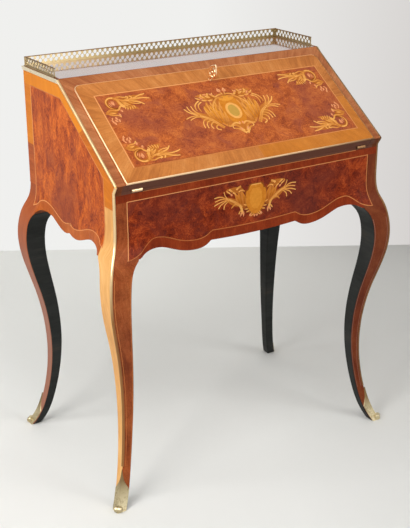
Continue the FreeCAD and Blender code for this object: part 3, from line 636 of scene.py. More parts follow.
def sweep(name, rings, closed=False):
    # a skin over rings of points, each as long as the first
    points = [point for ring in rings for point in ring]
    piece = newPiece(name, points, ringFaces(len(rings[0]), len(rings), closed))
    work = bmesh.new()
    work.from_mesh(piece.data)
    bmesh.ops.recalc_face_normals(work, faces=work.faces)
    work.to_mesh(piece.data)
    work.free()
    return piece


def tubeRings(path, radius, sides):
    # round sections square to the path; the first point of each lies towards the right
    rings = []
    for index, here in enumerate(path):
        step = (path[min(index + 1, len(path) - 1)] - path[max(index - 1, 0)]).normalized()
        right = (rightward - step * rightward.dot(step)).normalized()
        front = step.cross(right)
        rings.append([here + right * (radius * math.cos(2 * math.pi * turn / sides))
                      + front * (radius * math.sin(2 * math.pi * turn / sides))
                      for turn in range(sides)])
    return rings


def dress(material, *names):
    for name in names:
        mesh = nodes[name].data
        if not mesh.materials:
            mesh.materials.append(material)
        for index in range(len(mesh.materials)):
            mesh.materials[index] = material


veneer = {"lift": 0.15 * mm, "inlay": 0.1 * mm, "thickness": 0.6 * mm, "grid": 5 * mm,
          "string": 2.0 * mm, "ease": 5 * mm, "step": 0.003 * mm, "clear": 0.2, "below": 0.4}


def laySheet(sheet, name, place, outward, body, slot, material):
    piece = faceOutwards(sheet.lay(name, place, outward), outward)
    thicken(piece, veneer["thickness"])
    return settle(piece, body, slot, material)


def drapedOn(skin, outward, sideways, base):
    # places on a skin, the foremost of three rays, so that a veneer eases over a step in the boards
    def lifted(lift):
        def place(across, z):
            out = base
            for near in (-veneer["ease"], 0, veneer["ease"]):
                start = sideways * (across + near) + upward * z + outward * (base + veneer["clear"])
                hit = skin.ray_cast(start, -outward)[0]
                out = out if hit is None else max(hit.dot(outward), out)
            return sideways * across + upward * z + outward * (out + lift)
        return place
    return lifted


def undersideOf(skin, sideways, start, end):
    # the height of a board's scalloped lower edge, level past both ends
    edges = {}

    def edge(across):
        across = max(-end, min(end, across))
        if across not in edges:
            low = start + sideways * across + upward * veneer["below"]
            edges[across] = skin.ray_cast(low, upward)[0].z
        return edges[across]
    return edge


# inlay shapes, drawn in millimetres about the motif's own centre

leafLook = {"steps": 8, "fullness": 0.7, "bluntness": 0.985, "least": 0.12}


def blade(shapes, root, heading, length, width, curl, tone):
    # a pointed leaf on a spine that bends by curl from root to tip
    look = leafLook
    steps = look["steps"]
    x, y = root
    rows = []
    for step in range(steps + 1):
        share = step / steps
        angle = math.radians(heading + curl * share)
        swell = min(share ** look["fullness"], look["bluntness"])
        half = max(width / 2 * math.sin(math.pi * swell), look["least"])
        side = (-math.sin(angle) * half, math.cos(angle) * half)
        rows.append([(x + side[0], y + side[1]), (x, y), (x - side[0], y - side[1])])
        x += math.cos(angle) * length / steps
        y += math.sin(angle) * length / steps
    shapes.append((rows, tone, True))


def leaves(shapes, tone, *rows):
    # each leaf: root across, root up, heading, length, width, curl
    for across, up, heading, length, width, curl in rows:
        blade(shapes, (across, up), heading, length, width, curl, tone)


def fringe(shapes, tone, points, shares, count, spreads, lengths, width, curl):
    # leaves set along one side of a smooth line; spreads and lengths are of the first and the last
    line = smoothLine(points)
    for index in range(count):
        share = index / max(count - 1, 1)
        at = min(int((shares[0] + (shares[1] - shares[0]) * share) * (len(line) - 1)), len(line) - 2)
        step = line[at + 1] - line[at]
        spread = (spreads[1] - spreads[0]) * share
        heading = math.degrees(math.atan2(step.y, step.x)) + spreads[0] + spread
        length = lengths[0] + (lengths[1] - lengths[0]) * share
        blade(shapes, tuple(line[at]), heading, length, width, curl, tone)


def volute(shapes, centre, radii, startAngle, turn, widths, tone, steps=24):
    # a tapering ribbon wound about a centre
    rows = []
    for step in range(steps + 1):
        share = step / steps
        angle = math.radians(startAngle + turn * share)
        radius = radii[0] + (radii[1] - radii[0]) * share
        half = (widths[0] + (widths[1] - widths[0]) * share) / 2 * min(1.0, 0.25 + 4 * share)
        rows.append([(centre[0] + math.cos(angle) * (radius + side),
                      centre[1] + math.sin(angle) * (radius + side)) for side in (half, 0, -half)])
    shapes.append((rows, tone, True))


def smoothLine(points, steps=6):
    # a smooth line through a few points
    line = []
    last = len(points) - 1
    for index in range(last):
        places = (max(index - 1, 0), index, index + 1, min(index + 2, last))
        p0, p1, p2, p3 = (Vector(points[place]) for place in places)
        for step in range(steps):
            t = step / steps
            line.append(0.5 * (2 * p1 + (p2 - p0) * t + (2 * p0 - 5 * p1 + 4 * p2 - p3) * t * t
                               + (3 * p1 - p0 - 3 * p2 + p3) * t ** 3))
    return line + [Vector(points[-1])]


def stem(shapes, points, startWidth, endWidth, tone):
    # a tapering ribbon along a smooth line
    line = smoothLine(points)
    rows = []
    for index, here in enumerate(line):
        step = line[min(index + 1, len(line) - 1)] - line[max(index - 1, 0)]
        side = Vector((-step.y, step.x)).normalized()
        half = (startWidth + (endWidth - startWidth) * index / (len(line) - 1)) / 2
        rows.append([tuple(here + side * half), tuple(here), tuple(here - side * half)])
    shapes.append((rows, tone, True))


def ovalBand(shapes, centre, across, up, width, tone, count=40):
    # a ring; as wide as its half breadth it is a whole oval
    rows = []
    for index in range(count + 1):
        angle = 2 * math.pi * index / count
        rows.append([(centre[0] + (across - side) * math.cos(angle),
                      centre[1] + (up - side) * math.sin(angle)) for side in (0, width / 2, width)])
    shapes.append((rows, tone, False))


def filled(shapes, outline, tone):
    # a shape symmetrical about the motif's middle line, given by its right edge from top to bottom
    rows = [[(-across, up), (0, up), (across, up)] for across, up in smoothLine(outline)]
    shapes.append((rows, tone, False))


def strokes(shapes, tone, *rows):
    # each stroke: its points, its width at the start and at the end
    for points, startWidth, endWidth in rows:
        stem(shapes, points, startWidth, endWidth, tone)


def cornerSpray():
    # a ring with a berry, a looped leaf over it, a plume along the long string, a sprig up the short one
    gold, rose, shade = [], [], []
    leaves(shade, 0.3, (46, 12, 74, 40, 16.0, -30), (50, 24, 4, 44, 22.0, 0), (36, 46, 164, 34, 17.0, 6),
           (56, 37, 24, 32, 15.0, 0), (60, 18, -4, 52, 12.0, 4))
    volute(shade, (33, 27), (15.6, 14.4), 60, 330, (8.0, 9.0), 0.0)
    volute(gold, (33, 27), (16.6, 15.4), 92, 226, (3.0, 3.8), 0.42)
    strokes(gold, 0.3, ([(7, 52), (17, 59.5), (29, 61), (35, 67)], 3.2, 2.6),
            ([(7, 51), (17, 45), (29, 47), (38, 46), (44, 39), (50, 37), (54, 42)], 4.0, 4.4),
            ([(38, 12.5), (45, 18), (48, 29), (53, 40)], 4.0, 7.0),
            ([(44, 12.5), (54, 11), (64, 14), (75, 15)], 3.6, 2.6),
            ([(46, 16), (56, 22), (66, 24), (75, 25)], 5.0, 4.0))
    leaves(gold, 0.26, (12, 53, 4, 16, 5.4, 10), (51, 25, 30, 24, 6.0, 12), (52, 31, 44, 17, 5.0, -20))
    strokes(gold, 0.46, ([(72, 25), (84, 29), (95, 33), (103, 41)], 4.4, 2.2),
            ([(70, 28), (78, 34), (88, 36), (96, 36)], 3.0, 2.0),
            ([(75, 24), (90, 22), (107, 22.5), (122, 26)], 4.6, 2.2),
            ([(75, 22), (88, 19), (101, 14), (116, 12)], 4.2, 2.2),
            ([(70, 22), (79, 20), (82, 16), (78, 12.5)], 3.0, 2.4),
            ([(63, 21), (71, 19), (73, 15), (69, 12.5)], 3.0, 2.4))
    leaves(gold, 0.4, (58, 39, 112, 10, 3.0, 20), (62, 40, 104, 12, 3.0, 20), (67, 40, 96, 12, 3.0, 20),
           (72, 39, 88, 12, 3.0, 20), (76, 38, 74, 11, 3.0, 20))
    leaves(rose, 0.4, (31, 20, 76, 14, 7.4, 10), (33, 56, 70, 9, 4.6, 0), (42, 46, 74, 9, 5.0, 0),
           (24, 23, 60, 12, 2.6, 20), (21, 28, 56, 10, 2.4, 20))
    leaves(rose, 0.5, (12, 78, 60, 9, 4.6, 30), (9, 71, 64, 10, 4.4, 30), (17, 71, 70, 10, 4.4, -30),
           (21, 64, 76, 10, 4.6, 20), (26, 71, 80, 10, 4.2, 30), (14, 65, 110, 8, 3.4, 20))
    return {"shade": shade, "gold": gold, "rose": rose}


def fallCartouche():
    # the right half of the centre piece: acanthus, wing, sprigs, crest and drop
    gold, rose, shade, amber = [], [], [], []
    leaves(shade, 0.3, (48, -36, 42, 70, 26.0, 8), (60, -14, 92, 50, 24.0, 10),
           (24, 44, 14, 50, 22.0, 0))
    leaves(amber, 0.3, (36, -42, 106, 66, 13.0, -16), (41, -36, 90, 62, 13.0, 6),
           (47, -30, 76, 56, 13.0, 24), (54, -23, 62, 50, 12.0, 32))
    leaves(gold, 0.14, (36, -40, 116, 44, 8.0, -24), (38, -36, 98, 58, 6.4, -2),
           (44, -30, 84, 54, 6.0, 14), (50, -24, 70, 48, 6.0, 28), (57, -18, 58, 42, 6.0, 34),
           (30, -4, 96, 36, 6.4, 12), (37, 4, 92, 32, 5.4, 16), (45, 8, 80, 28, 5.4, 26),
           (53, 8, 70, 26, 5.0, 30))
    strokes(shade, -0.1, ([(33, -26), (32, -4), (30, 18)], 1.8, 1.2),
            ([(39, -24), (40, 0), (37, 24)], 1.8, 1.2), ([(45, -20), (48, 2), (47, 24)], 1.8, 1.2),
            ([(51, -16), (57, 4), (58, 22)], 1.8, 1.2))
    strokes(gold, 0.4,
            ([(47, -43), (57, -30), (68, -15), (80, -6), (94, 3), (110, 13), (117, 24)], 9.0, 2.2),
            ([(88, 1), (99, 9), (106, 19), (107, 30)], 3.6, 2.2),
            ([(82, -2), (91, 8), (96, 19), (97, 30)], 3.6, 2.2),
            ([(88, 14), (88, 24), (83, 33), (71, 41)], 2.4, 3.4),
            ([(79, 10), (80, 22), (76, 31), (66, 37)], 2.4, 3.0),
            ([(90, -1), (102, 1), (112, 0), (125, -4)], 3.6, 2.0),
            ([(86, -5), (98, -3), (108, -5), (117, -9)], 3.2, 2.0),
            ([(72, -12), (84, -14), (91, -22), (93, -36)], 3.4, 2.2),
            ([(67, -17), (78, -20), (84, -27), (85, -38)], 3.4, 2.2),
            ([(62, -23), (71, -26), (76, -33), (74, -41)], 3.4, 2.4),
            ([(55, -32), (64, -36), (66, -43), (58, -48)], 3.4, 2.6))
    strokes(gold, 0.34, ([(7, 40), (22, 42), (34, 33), (44, 20), (47, 6)], 4.4, 3.0),
            ([(46, -29), (38, -38), (30, -42), (21, -37), (13, -35), (4, -40)], 4.4, 4.0),
            ([(11, -48), (15, -42), (24, -42), (27, -48), (22, -51)], 3.0, 2.6),
            ([(1, 45), (6, 51), (15, 50), (24, 46)], 4.0, 2.6),
            ([(24, -50), (15, -53), (8, -60), (1, -67)], 3.4, 6.0),
            ([(12, -46), (8, -53), (3, -60)], 5.6, 4.0))
    leaves(gold, 0.5, (24, 44, 52, 14, 5.4, -24), (31, 48, 96, 12, 5.0, 24), (37, 45, 36, 15, 5.4, -24),
           (44, 50, 110, 12, 5.0, 24), (50, 46, 40, 15, 5.0, -24), (58, 48, 84, 12, 5.0, 24),
           (63, 44, 16, 15, 4.6, 30), (34, 40, -20, 16, 4.6, 30), (49, 40, -6, 15, 4.6, 30))
    leaves(rose, 0.46, (43, 55, 20, 11, 4.0, -24), (57, 43, 40, 12, 4.0, 24), (28, 53, 24, 10, 4.0, 10))
    leaves(rose, 0.5, (6, 57, 80, 13, 10.0, 0), (10, -50, -110, 9, 5.0, 0), (4, -41, 90, 9, 5.0, 0))
    leaves(gold, 0.4, (2, 44, 74, 14, 4.4, 16))
    return {"shade": shade, "amber": amber, "gold": gold, "rose": rose}


def fallMedallion():
    # an oval boss in a broad ring, on a shaded ground
    gold, amber, shade, olive = [], [], [], []
    ground = [(4, 48), (24, 44), (42, 31), (52, 14), (58, -6), (50, -24), (36, -38), (18, -46), (7, -54),
              (1, -64)]
    filled(shade, ground, 0.36)
    filled(amber, [(3, 44), (16, 41), (24, 27), (26, 4), (24, -16), (17, -32), (4, -42)], 0.16)
    filled(amber, [(2, 46), (15, 43), (19, 38), (15, 33), (3, 30)], 0.5)
    ovalBand(shade, (0, 0), 20.6, 25.8, 2.6, 0.3)
    ovalBand(gold, (0, 0), 18.6, 23.8, 6.4, 0.54)
    ovalBand(olive, (0, 0), 12.4, 17.6, 12.3, 0.4)
    ovalBand(gold, (1, -6), 7.0, 7.6, 1.6, 0.1)
    return {"shade": shade, "amber": amber, "gold": gold, "olive": olive}


def apronCartouche():
    # the right half of the winged shield
    gold, rose, shade, amber = [], [], [], []
    leaves(shade, 0.24, (30, -20, 76, 52, 24.0, -14), (40, -10, 30, 52, 15.0, 0),
           (32, 24, 10, 46, 14.0, 0))
    leaves(shade, 0.56, (30, -14, 84, 40, 12.0, -20), (36, -12, 70, 36, 11.0, -26),
           (40, -6, 52, 30, 9.0, 10))
    leaves(amber, 0.0, (30, -10, 88, 34, 4.4, -20), (36, -8, 74, 32, 4.0, -20),
           (42, -4, 60, 26, 4.0, 10))
    strokes(gold, 0.36, ([(36, -15), (48, -5), (62, 4), (72, 9), (82, 13)], 6.0, 3.2),
            ([(65, -12), (55, -5), (44, -9), (38, -18), (35, -30)], 2.6, 6.4))
    strokes(gold, 0.46, ([(78, 11), (88, 17), (97, 19), (109, 18)], 3.0, 2.0),
            ([(78, 11), (90, 13), (98, 12), (107, 10)], 2.8, 2.0),
            ([(76, 9), (88, 7), (98, 5), (109, 1)], 3.0, 2.0),
            ([(75, 8), (84, 4), (92, 0), (98, -7)], 2.8, 2.0),
            ([(70, 7), (78, 2), (83, -4), (84, -11)], 2.8, 2.0),
            ([(72, 10), (78, 15), (82, 21), (84, 28)], 2.6, 1.8),
            ([(40, 34), (46, 32), (52, 28)], 4.0, 4.6), ([(62, 25), (66, 28), (71, 32)], 4.0, 3.6),
            ([(78, 30), (74, 26), (68, 22)], 3.6, 2.4), ([(52, 15), (56, 20), (61, 23)], 3.4, 3.0),
            ([(36, -20), (42, -24), (45, -29)], 3.2, 2.4), ([(30, 21), (38, 25), (46, 22)], 3.0, 2.6))
    leaves(rose, 0.46, (62, 16, 40, 8, 4.4, 0), (33, -24, -96, 13, 4.4, 10), (38, -25, -84, 11, 4.0, 20),
           (3, -36, -84, 6, 5.6, 0), (13, -33, -66, 7, 5.4, 0))
    return {"shade": shade, "amber": amber, "gold": gold, "rose": rose}


def apronShield():
    gold, amber, shade = [], [], []
    edge = [(13, 33), (17, 29), (20, 22), (25.5, 19), (27, 6), (25.5, -8), (20, -20), (12, -30),
            (3, -35)]
    filled(shade, [(across + 3, up * 1.07) for across, up in edge], -0.2)
    filled(amber, edge, 0.16)
    filled(amber, [(9, 24), (15, 12), (16, 0), (12, -14), (4, -24)], 0.36)
    filled(gold, [(12, 33.6), (13, 32.4), (13.4, 31.2)], 0.5)
    for side in (1, -1):
        rim = [(4 * side, -33), (14 * side, -27), (22 * side, -17), (26 * side, -4)]
        fringe(gold, 0.4, rim, (0.0, 0.8), 5, (-66 * side, -50 * side), (12, 10), 3.4, 0)
    return {"shade": shade, "amber": amber, "gold": gold}


inlayWoods = (("shade", shadeInlay, 0.0), ("amber", amberInlay, 0.05 * mm),
              ("gold", goldInlay, 0.1 * mm), ("rose", roseInlay, 0.15 * mm),
              ("olive", oliveInlay, 0.15 * mm))


def rootToTip(last):
    return lambda index, column: (index / last, column / 2)


def flatTone(index, column):
    return (0.5, 0.0)


def layMotifs(name, placed, place, outward, body, slot):
    # placed: motif, centre and how it is mirrored across and up; one piece for each wood
    for wood, material, lift in inlayWoods:
        sheet = Sheet()
        count = 0
        for motif, centre, flipAcross, flipUp in placed:
            for rows, tone, veined in motif.get(wood, ()):
                laid = [[(centre[0] + x * mm * flipAcross, centre[1] + y * mm * flipUp) for x, y in row]
                        for row in rows]
                mapping = rootToTip(len(rows) - 1) if veined else flatTone
                sheet.grid(laid, tone, lift + count % 12 * veneer["step"], mapping)
                count += 1
        if count:
            laySheet(sheet, name + wood.capitalize(), place, outward, body, slot, material)


# the fall: burr field, mitred crossbands, strings, inlay and a brass edge

fallLook = {"left": -289 * mm, "right": 299 * mm, "low": 38 * mm, "high": 241 * mm,
            "centre": (14 * mm, 145 * mm), "brightFrom": 17 * mm, "brightTo": 138 * mm, "edge": 3.3 * mm,
            "farEdge": 4.7 * mm, "shadowLine": 1.0 * mm, "corner": 9 * mm}


def fallOutline(near, far, steps=8):
    # the fall's outline moved out, by near at the left and the heel, by far at the right and the top
    foot, head = fallFoot + lipSide - fallSide - near, fallTop + far
    turns = [math.pi / 2 * step / steps for step in range(steps + 1)]
    arcs = []
    for half in (fallSide + far, fallSide + near):
        radius = fallLook["corner"] + (half - fallSide + far) / 2
        arcs.append([(half - radius * (1 - math.cos(turn)), head - radius * (1 - math.sin(turn)))
                     for turn in turns])
    right, left = arcs
    heel = [(-fallSide - near, foot), (fallSide + far, foot)]
    return heel + right + [(-x, y) for x, y in reversed(left)]


def laidOnFall(lift):
    return lambda across, up: onSlope(across, up, fallFace + lift)


def dressFall():
    look = fallLook
    left, right, low, high = look["left"], look["right"], look["low"], look["high"]
    flat = laidOnFall(veneer["lift"])
    inlaid = laidOnFall(veneer["lift"] + veneer["inlay"])
    field = Sheet()
    field.grid([between((left, up), (right, up), 40) for up in (low, (low + high) / 2, high)])
    laySheet(field, "fallField", flat, slopeOut, "fall", "burr_fall", fallBurr)

    outline = fallOutline(look["edge"], look["farEdge"])
    footLeft, footRight = outline[0], outline[1]
    foot = footLeft[1]
    rightArc, leftArc = outline[2:11], outline[11:]
    split, rise = look["brightFrom"], look["brightTo"]
    bands = Sheet()
    straightBand(bands, ((left, low), (split, low)), (footLeft, (split, foot)), 12, 2, 0.1)
    straightBand(bands, ((split, low), (right, low)), ((split, foot), footRight), 12, 2, 0.9)
    straightBand(bands, ((right, low), (right, rise)), (footRight, (footRight[0], rise)), 6, 2, 0.7)
    ribbon(bands, between((right, rise), (right, high), 4) + [(right, high)] * 4,
           between((footRight[0], rise), rightArc[0], 4) + rightArc[1:5], 2, 0.0)
    inner = [(right, high)] * 5 + between((right, high), (left, high), 20)[1:-1] + [(left, high)] * 5
    outer = rightArc[4:] + between(rightArc[-1], leftArc[0], 20)[1:-1] + leftArc[:5]
    ribbon(bands, inner, outer, 2, 0.0)
    ribbon(bands, [(left, high)] * 4 + between((left, high), (left, low), 8),
           leftArc[4:8] + between(leftArc[-1], footLeft, 8), 2, 0.1)
    laySheet(bands, "fallCrossbands", flat, slopeOut, "fall", "crossband", goldBand)

    frameLine = [(left, low), (right, low), (right, high), (left, high)]
    lines = Sheet()
    stringLine(lines, frameLine, veneer["string"], True)
    laySheet(lines, "fallStrings", inlaid, slopeOut, "fall", "crossband", boxLine)
    lines = Sheet()
    inside = (veneer["string"] + look["shadowLine"]) / 2
    stringLine(lines, offsetPath(frameLine, inside, True), look["shadowLine"], True, 0.0)
    laySheet(lines, "fallShadowLine", inlaid, slopeOut, "fall", "crossband", shadeInlay)

    placed = [(cornerSpray(), (across, up), flipAcross, flipUp)
              for across, flipAcross in ((left, 1), (right, -1))
              for up, flipUp in ((low, 1), (high, -1))]
    placed += [(fallCartouche(), look["centre"], flip, 1) for flip in (-1, 1)]
    placed.append((fallMedallion(), look["centre"], 1, 1))
    layMotifs("fallInlay", placed, inlaid, slopeOut, "fall", "crossband")


# each point of the lip's section: out at the left and heel, out at the right and top, and its rise
lipLook = {"section": ((6.0, 6.0, -2.7), (6.0, 6.0, -0.7), (5.85, 5.9, 0.1), (5.4, 5.7, 0.7),
                       (4.8, 5.5, 0.9), (4.1, 5.2, 0.9), (3.6, 5.0, 0.6), (3.4, 4.8, 0.3),
                       (3.4, 4.8, -0.3), (0.2, 0.2, -0.3), (0.2, 0.2, -2.7)), "topShadeFrom": -306 * mm,
           "topShadeBelow": 4 * mm, "smooth": 45}


def edgeFall():
    # the lip's brass shows as a bead and its outer edge, narrower at the right and the top, which are
    # painted shade: dim brass at the right, a duller, warmer brass at the top
    look = lipLook
    outlines = [(fallOutline(near * mm, far * mm), rise * mm) for near, far, rise in look["section"]]
    rings = [[onSlope(*outline[index], fallFace + rise) for outline, rise in outlines]
             for index in range(len(outlines[0][0]))]
    edging = smoothOver(sweep("fallEdging", rings, True), look["smooth"])
    for face in edging.data.polygons:
        place = face.center - hingeLine
        # the faces at the right and along the top take the painted shade
        if place.x > fallSide:
            face.material_index = 1
        elif place.dot(slopeUp) > fallTop - look["topShadeBelow"] and place.x > look["topShadeFrom"]:
            face.material_index = 2
    settle(edging, "fall", "gilt_brass", lipBrass, dimBrass, lipTopShadeBrass, replaced=("fall_moulding",))


dressFall()
edgeFall()
print("fall dressed")


# the case: sides, front, slope surround and top

sideLook = {"topLine": 877 * mm, "backLine": 172 * mm, "frontLine": -165 * mm, "slantBand": 24 * mm,
            "knee": 0.47, "lowerBand": 23 * mm, "panelEnd": 155 * mm, "bandTop": 906.3 * mm,
            "postJoint": 690 * mm, "backJoint": 740 * mm, "backFoot": 645 * mm, "stripGap": 4.2 * mm,
            "backGap": 0.3 * mm, "bud": (4.5 * mm, 9 * mm), "boardIn": 9 * mm, "dipFrom": 12 * mm,
            "dip": 110 * mm, "edgeGap": 0.4 * mm}


def dressSide(word, sign):
    look = sideLook
    skin = skinOf("side_panel_" + word, "leg_front_" + word, "leg_back_" + word, "top_board")
    outward = Vector((sign, 0, 0))
    backward = Vector((0, 1, 0))
    board = outward * (caseSide - look["boardIn"])
    lowerEdge = undersideOf(skin, backward, board, look["panelEnd"])
    draped = drapedOn(skin, outward, backward, caseSide)

    def lowerLine(y):
        past = max(0, abs(y) - look["panelEnd"] + look["dipFrom"])
        return lowerEdge(y) + look["lowerBand"] - past * past / look["dip"]

    def slantHeight(y, out):
        up = (y - caseFront - out * slopeOut.y) / slopeUp.y
        return hingeLine.z + up * slopeUp.z + out * slopeOut.z

    def slantPlace(height, out):
        up = (height - hingeLine.z - out * slopeOut.z) / slopeUp.z
        return caseFront + up * slopeUp.y + out * slopeOut.y

    flat = draped(veneer["lift"])
    fieldOut = slopeFace - look["slantBand"]
    front, back, top = look["frontLine"], look["backLine"], look["topLine"]
    backEdge = caseBack - look["backGap"]

    def fieldTop(y):
        return min(top, slantHeight(y, fieldOut))

    columns = int((back - front) / veneer["grid"])
    ys = [front + (back - front) * index / columns for index in range(columns + 1)]
    field = Sheet()
    field.grid([between((y, lowerLine(y)), (y, fieldTop(y)), 52) for y in ys])
    laySheet(field, "sideField_" + word, flat, outward, "case", "burr_side", sideBurr)

    stripOut = slopeFace - look["stripGap"]
    browInner = (slantPlace(top, fieldOut), top)
    bandTop = look["bandTop"]
    browOuter = (slantPlace(bandTop, stripOut), bandTop)
    noseOuter = (caseFront + stripOut * slopeOut.y, writingHeight + stripOut * slopeOut.z)
    noseInner = (front, fieldTop(front))
    bands = Sheet()
    straightBand(bands, ((backEdge, top), browInner), ((backEdge, bandTop), browOuter), 30, 4, 0.75)
    slantInner = between(browInner, noseInner, 40)
    slantOuter = between(browOuter, noseOuter, 40)
    cut = int(40 * look["knee"])
    ribbon(bands, slantInner[:cut + 1], slantOuter[:cut + 1], 4, 0.95)
    ribbon(bands, slantInner[cut:], slantOuter[cut:], 4, 0.0)
    postSide = caseFront + look["stripGap"]
    ribbon(bands, [noseInner, noseInner], [noseOuter, (postSide, writingHeight)], 6, 0.3)
    joint = look["postJoint"]
    straightBand(bands, (noseInner, (front, joint)), ((postSide, writingHeight), (postSide, joint)),
                 12, 6, 0.3)
    joint, lower = look["backJoint"], look["backFoot"]
    straightBand(bands, ((back, top), (back, joint)), ((backEdge, top), (backEdge, joint)), 26, 6, 0.4)
    laySheet(bands, "sideCrossbands_" + word, flat, outward, "case", "crossband", sideBand)

    bands = Sheet()
    ends = look["panelEnd"] + veneer["ease"]
    inside = [-ends] + [y for y in ys if abs(y) < ends] + [ends]
    ribbon(bands, [(y, lowerLine(y)) for y in inside],
           [(y, lowerEdge(y) + look["edgeGap"]) for y in inside], 5, 0.3)
    straightBand(bands, ((back, joint), (back, lower)), ((backEdge, joint), (backEdge, lower)), 26, 6,
                 0.1)
    laySheet(bands, "sideLowerBand_" + word, flat, outward, "case", "crossband", lowBand)

    lines = Sheet()
    path = between((back, top), browInner, 20) + between(browInner, noseInner, 30)[1:]
    path += between(noseInner, (front, lowerLine(front)), 24)[1:]
    path += [(y, lowerLine(y)) for y in ys[1:]]
    path += between((back, lowerLine(back)), (back, top), 40)[1:-1]
    stringLine(lines, path, veneer["string"], True)
    # a small bud on the middle of the scallops
    high, wide = look["bud"]
    foot = lowerLine(0)
    stringLine(lines, [(-wide, foot), (0, foot + high), (wide, foot)], veneer["string"] * 1.5, False)
    laySheet(lines, "sideStrings_" + word, draped(veneer["lift"] + veneer["inlay"] * 3), outward, "case",
             "crossband", boxLine)


frontLook = {"side": 318 * mm, "topLine": 704.5 * mm, "bandTop": 721 * mm, "lowerBand": 22 * mm,
             "boardEnd": 298 * mm, "flareFrom": 640 * mm, "corner": (328 * mm, 584 * mm),
             "turnFrom": 262 * mm, "centre": (2 * mm, 656 * mm), "stripGap": 4.2 * mm, "hinge": 281 * mm,
             "fineLine": 1.2 * mm, "boardIn": 10 * mm, "edgeGap": 0.4 * mm, "columns": 128, "rows": 24}


def dressFront():
    look = frontLook
    skin = skinOf("front_apron", "leg_front_left", "leg_front_right", "front_rail")
    outward = Vector((0, -1, 0))
    board = Vector((0, caseFront + look["boardIn"], 0))
    lowerEdge = undersideOf(skin, rightward, board, look["boardEnd"])
    draped = drapedOn(skin, outward, rightward, -caseFront)

    def lowerLine(x):
        # follows the scallops and runs out level into the corner
        share = min(1, max(0, abs(x) - look["turnFrom"]) / (look["corner"][0] - look["turnFrom"]))
        ease = share * share * (3 - 2 * share)
        return (lowerEdge(x) + look["lowerBand"]) * (1 - ease) + look["corner"][1] * ease

    def sideLine(z):
        # upright above, flaring with the leg below
        share = min(1, max(0, (look["flareFrom"] - z) / (look["flareFrom"] - look["corner"][1])))
        return look["side"] + (look["corner"][0] - look["side"]) * share * share

    flat = draped(veneer["lift"])
    top = look["topLine"]
    columns, rows = look["columns"], look["rows"]
    field = Sheet()
    grid = []
    for index in range(columns + 1):
        share = index / columns * 2 - 1
        foot = lowerLine(share * look["corner"][0])
        heights = [foot + (top - foot) * (row / rows) for row in range(rows + 1)]
        grid.append([(share * sideLine(z), z) for z in heights])
    field.grid(grid)
    laySheet(field, "apronField", flat, outward, "case", "burr_apron", apronBurr)

    bands = Sheet()
    ends = caseSide - look["stripGap"]
    bandTop = look["bandTop"]
    straightBand(bands, ((-ends, top), (ends, top)), ((-ends, bandTop), (ends, bandTop)), 80, 2, 0.1)
    xs = [column[0][0] for column in grid]
    ends = look["boardEnd"] + veneer["ease"]
    inside = [-ends] + [x for x in xs if abs(x) < ends] + [ends]
    ribbon(bands, [(x, lowerLine(x)) for x in inside],
           [(x, lowerEdge(x) + look["edgeGap"]) for x in inside], 5, 0.1)
    laySheet(bands, "apronCrossbands", flat, outward, "case", "crossband", redBand)

    lines = Sheet()
    path = [column[0] for column in grid] + grid[-1][1:]
    path += between((look["side"], top), (-look["side"], top), 80)[1:]
    path += list(reversed(grid[0]))[1:-1]
    stringLine(lines, path, veneer["string"] * 0.85, True, 0.1)
    fine = between((-look["hinge"], bandTop), (look["hinge"], bandTop), 60)
    stringLine(lines, fine, look["fineLine"], False, 0.2)
    laySheet(lines, "apronStrings", draped(veneer["lift"] + veneer["inlay"]), outward, "case",
             "crossband", boxLine)

    placed = [(apronCartouche(), look["centre"], flip, 1) for flip in (-1, 1)]
    placed.append((apronShield(), look["centre"], 1, 1))
    layMotifs("apronInlay", placed, draped(veneer["lift"] + veneer["inlay"]), outward, "case",
              "crossband")


slopeLook = {"lift": 0.1 * mm, "opening": 1.2 * mm, "stripGap": 4.1 * mm, "foot": 0.6 * mm,
             "head": 0.3 * mm}


def dressSlope():
    # the reddish band on the slope round the fall
    look = slopeLook

    def place(across, up):
        return onSlope(across, up, slopeFace + look["lift"])

    opening = fallTop + look["opening"]
    inner = reachAlong("slope_stile_right", rightward)[0]
    outer = caseSide - look["stripGap"]
    foot, head = look["foot"], brow - look["head"]
    bands = Sheet()
    for flip in (-1, 1):
        straightBand(bands, ((flip * inner, foot), (flip * inner, opening)),
                     ((flip * outer, foot), (flip * outer, head)), 20, 3)
    straightBand(bands, ((-inner, opening), (inner, opening)), ((-outer, head), (outer, head)), 40, 3)
    laySheet(bands, "slopeSurround", place, slopeOut, "case", "crossband", rimBand)


topLook = {"side": 340 * mm, "frontGap": 1.5 * mm, "backGap": 8.6 * mm, "band": 30 * mm}


def dressTop():
    look = topLook

    def place(x, y):
        return Vector((x, y, topFace + veneer["lift"]))

    board = nodes["top_board"].data.vertices
    front = min(vertex.co.y for vertex in board if vertex.co.z > topFace - 1 * mm)
    side, band = look["side"], look["band"]
    low, high = front + look["frontGap"], caseBack - look["backGap"]
    outer = [(-side, low), (side, low), (side, high), (-side, high)]
    inner = offsetPath(outer, band, True)
    field = Sheet()
    field.grid([between(inner[0], inner[1], 30), between(inner[3], inner[2], 30)])
    laySheet(field, "topField", place, upward, "case", "polished_top", topBurr)
    laySheet(frameBand(inner, outer, 20, 2), "topCrossbands", place, upward, "case", "polished_top",
             topBand)


for word, sign in bothSides:
    dressSide(word, sign)
dressFront()
dressSlope()
dressTop()
print("case dressed")


# cabriole legs: rounded square sections read from the sawn legs

legLook = {"rounding": 2.2 * mm, "support": 1.6 * mm, "step": 9 * mm, "line": 1.2 * mm,
           "lineGap": 2.4 * mm, "lineTop": 560 * mm, "lineFoot": 92 * mm, "outerGap": 9 * mm,
           "seat": 0.25 * mm, "seatFrom": 575 * mm, "sheenFrom": 590 * mm, "sheenRun": 240 * mm,
           "rightTone": 0.8, "ringPoints": 24, "smooth": 50, "trim": 0.02 * mm}


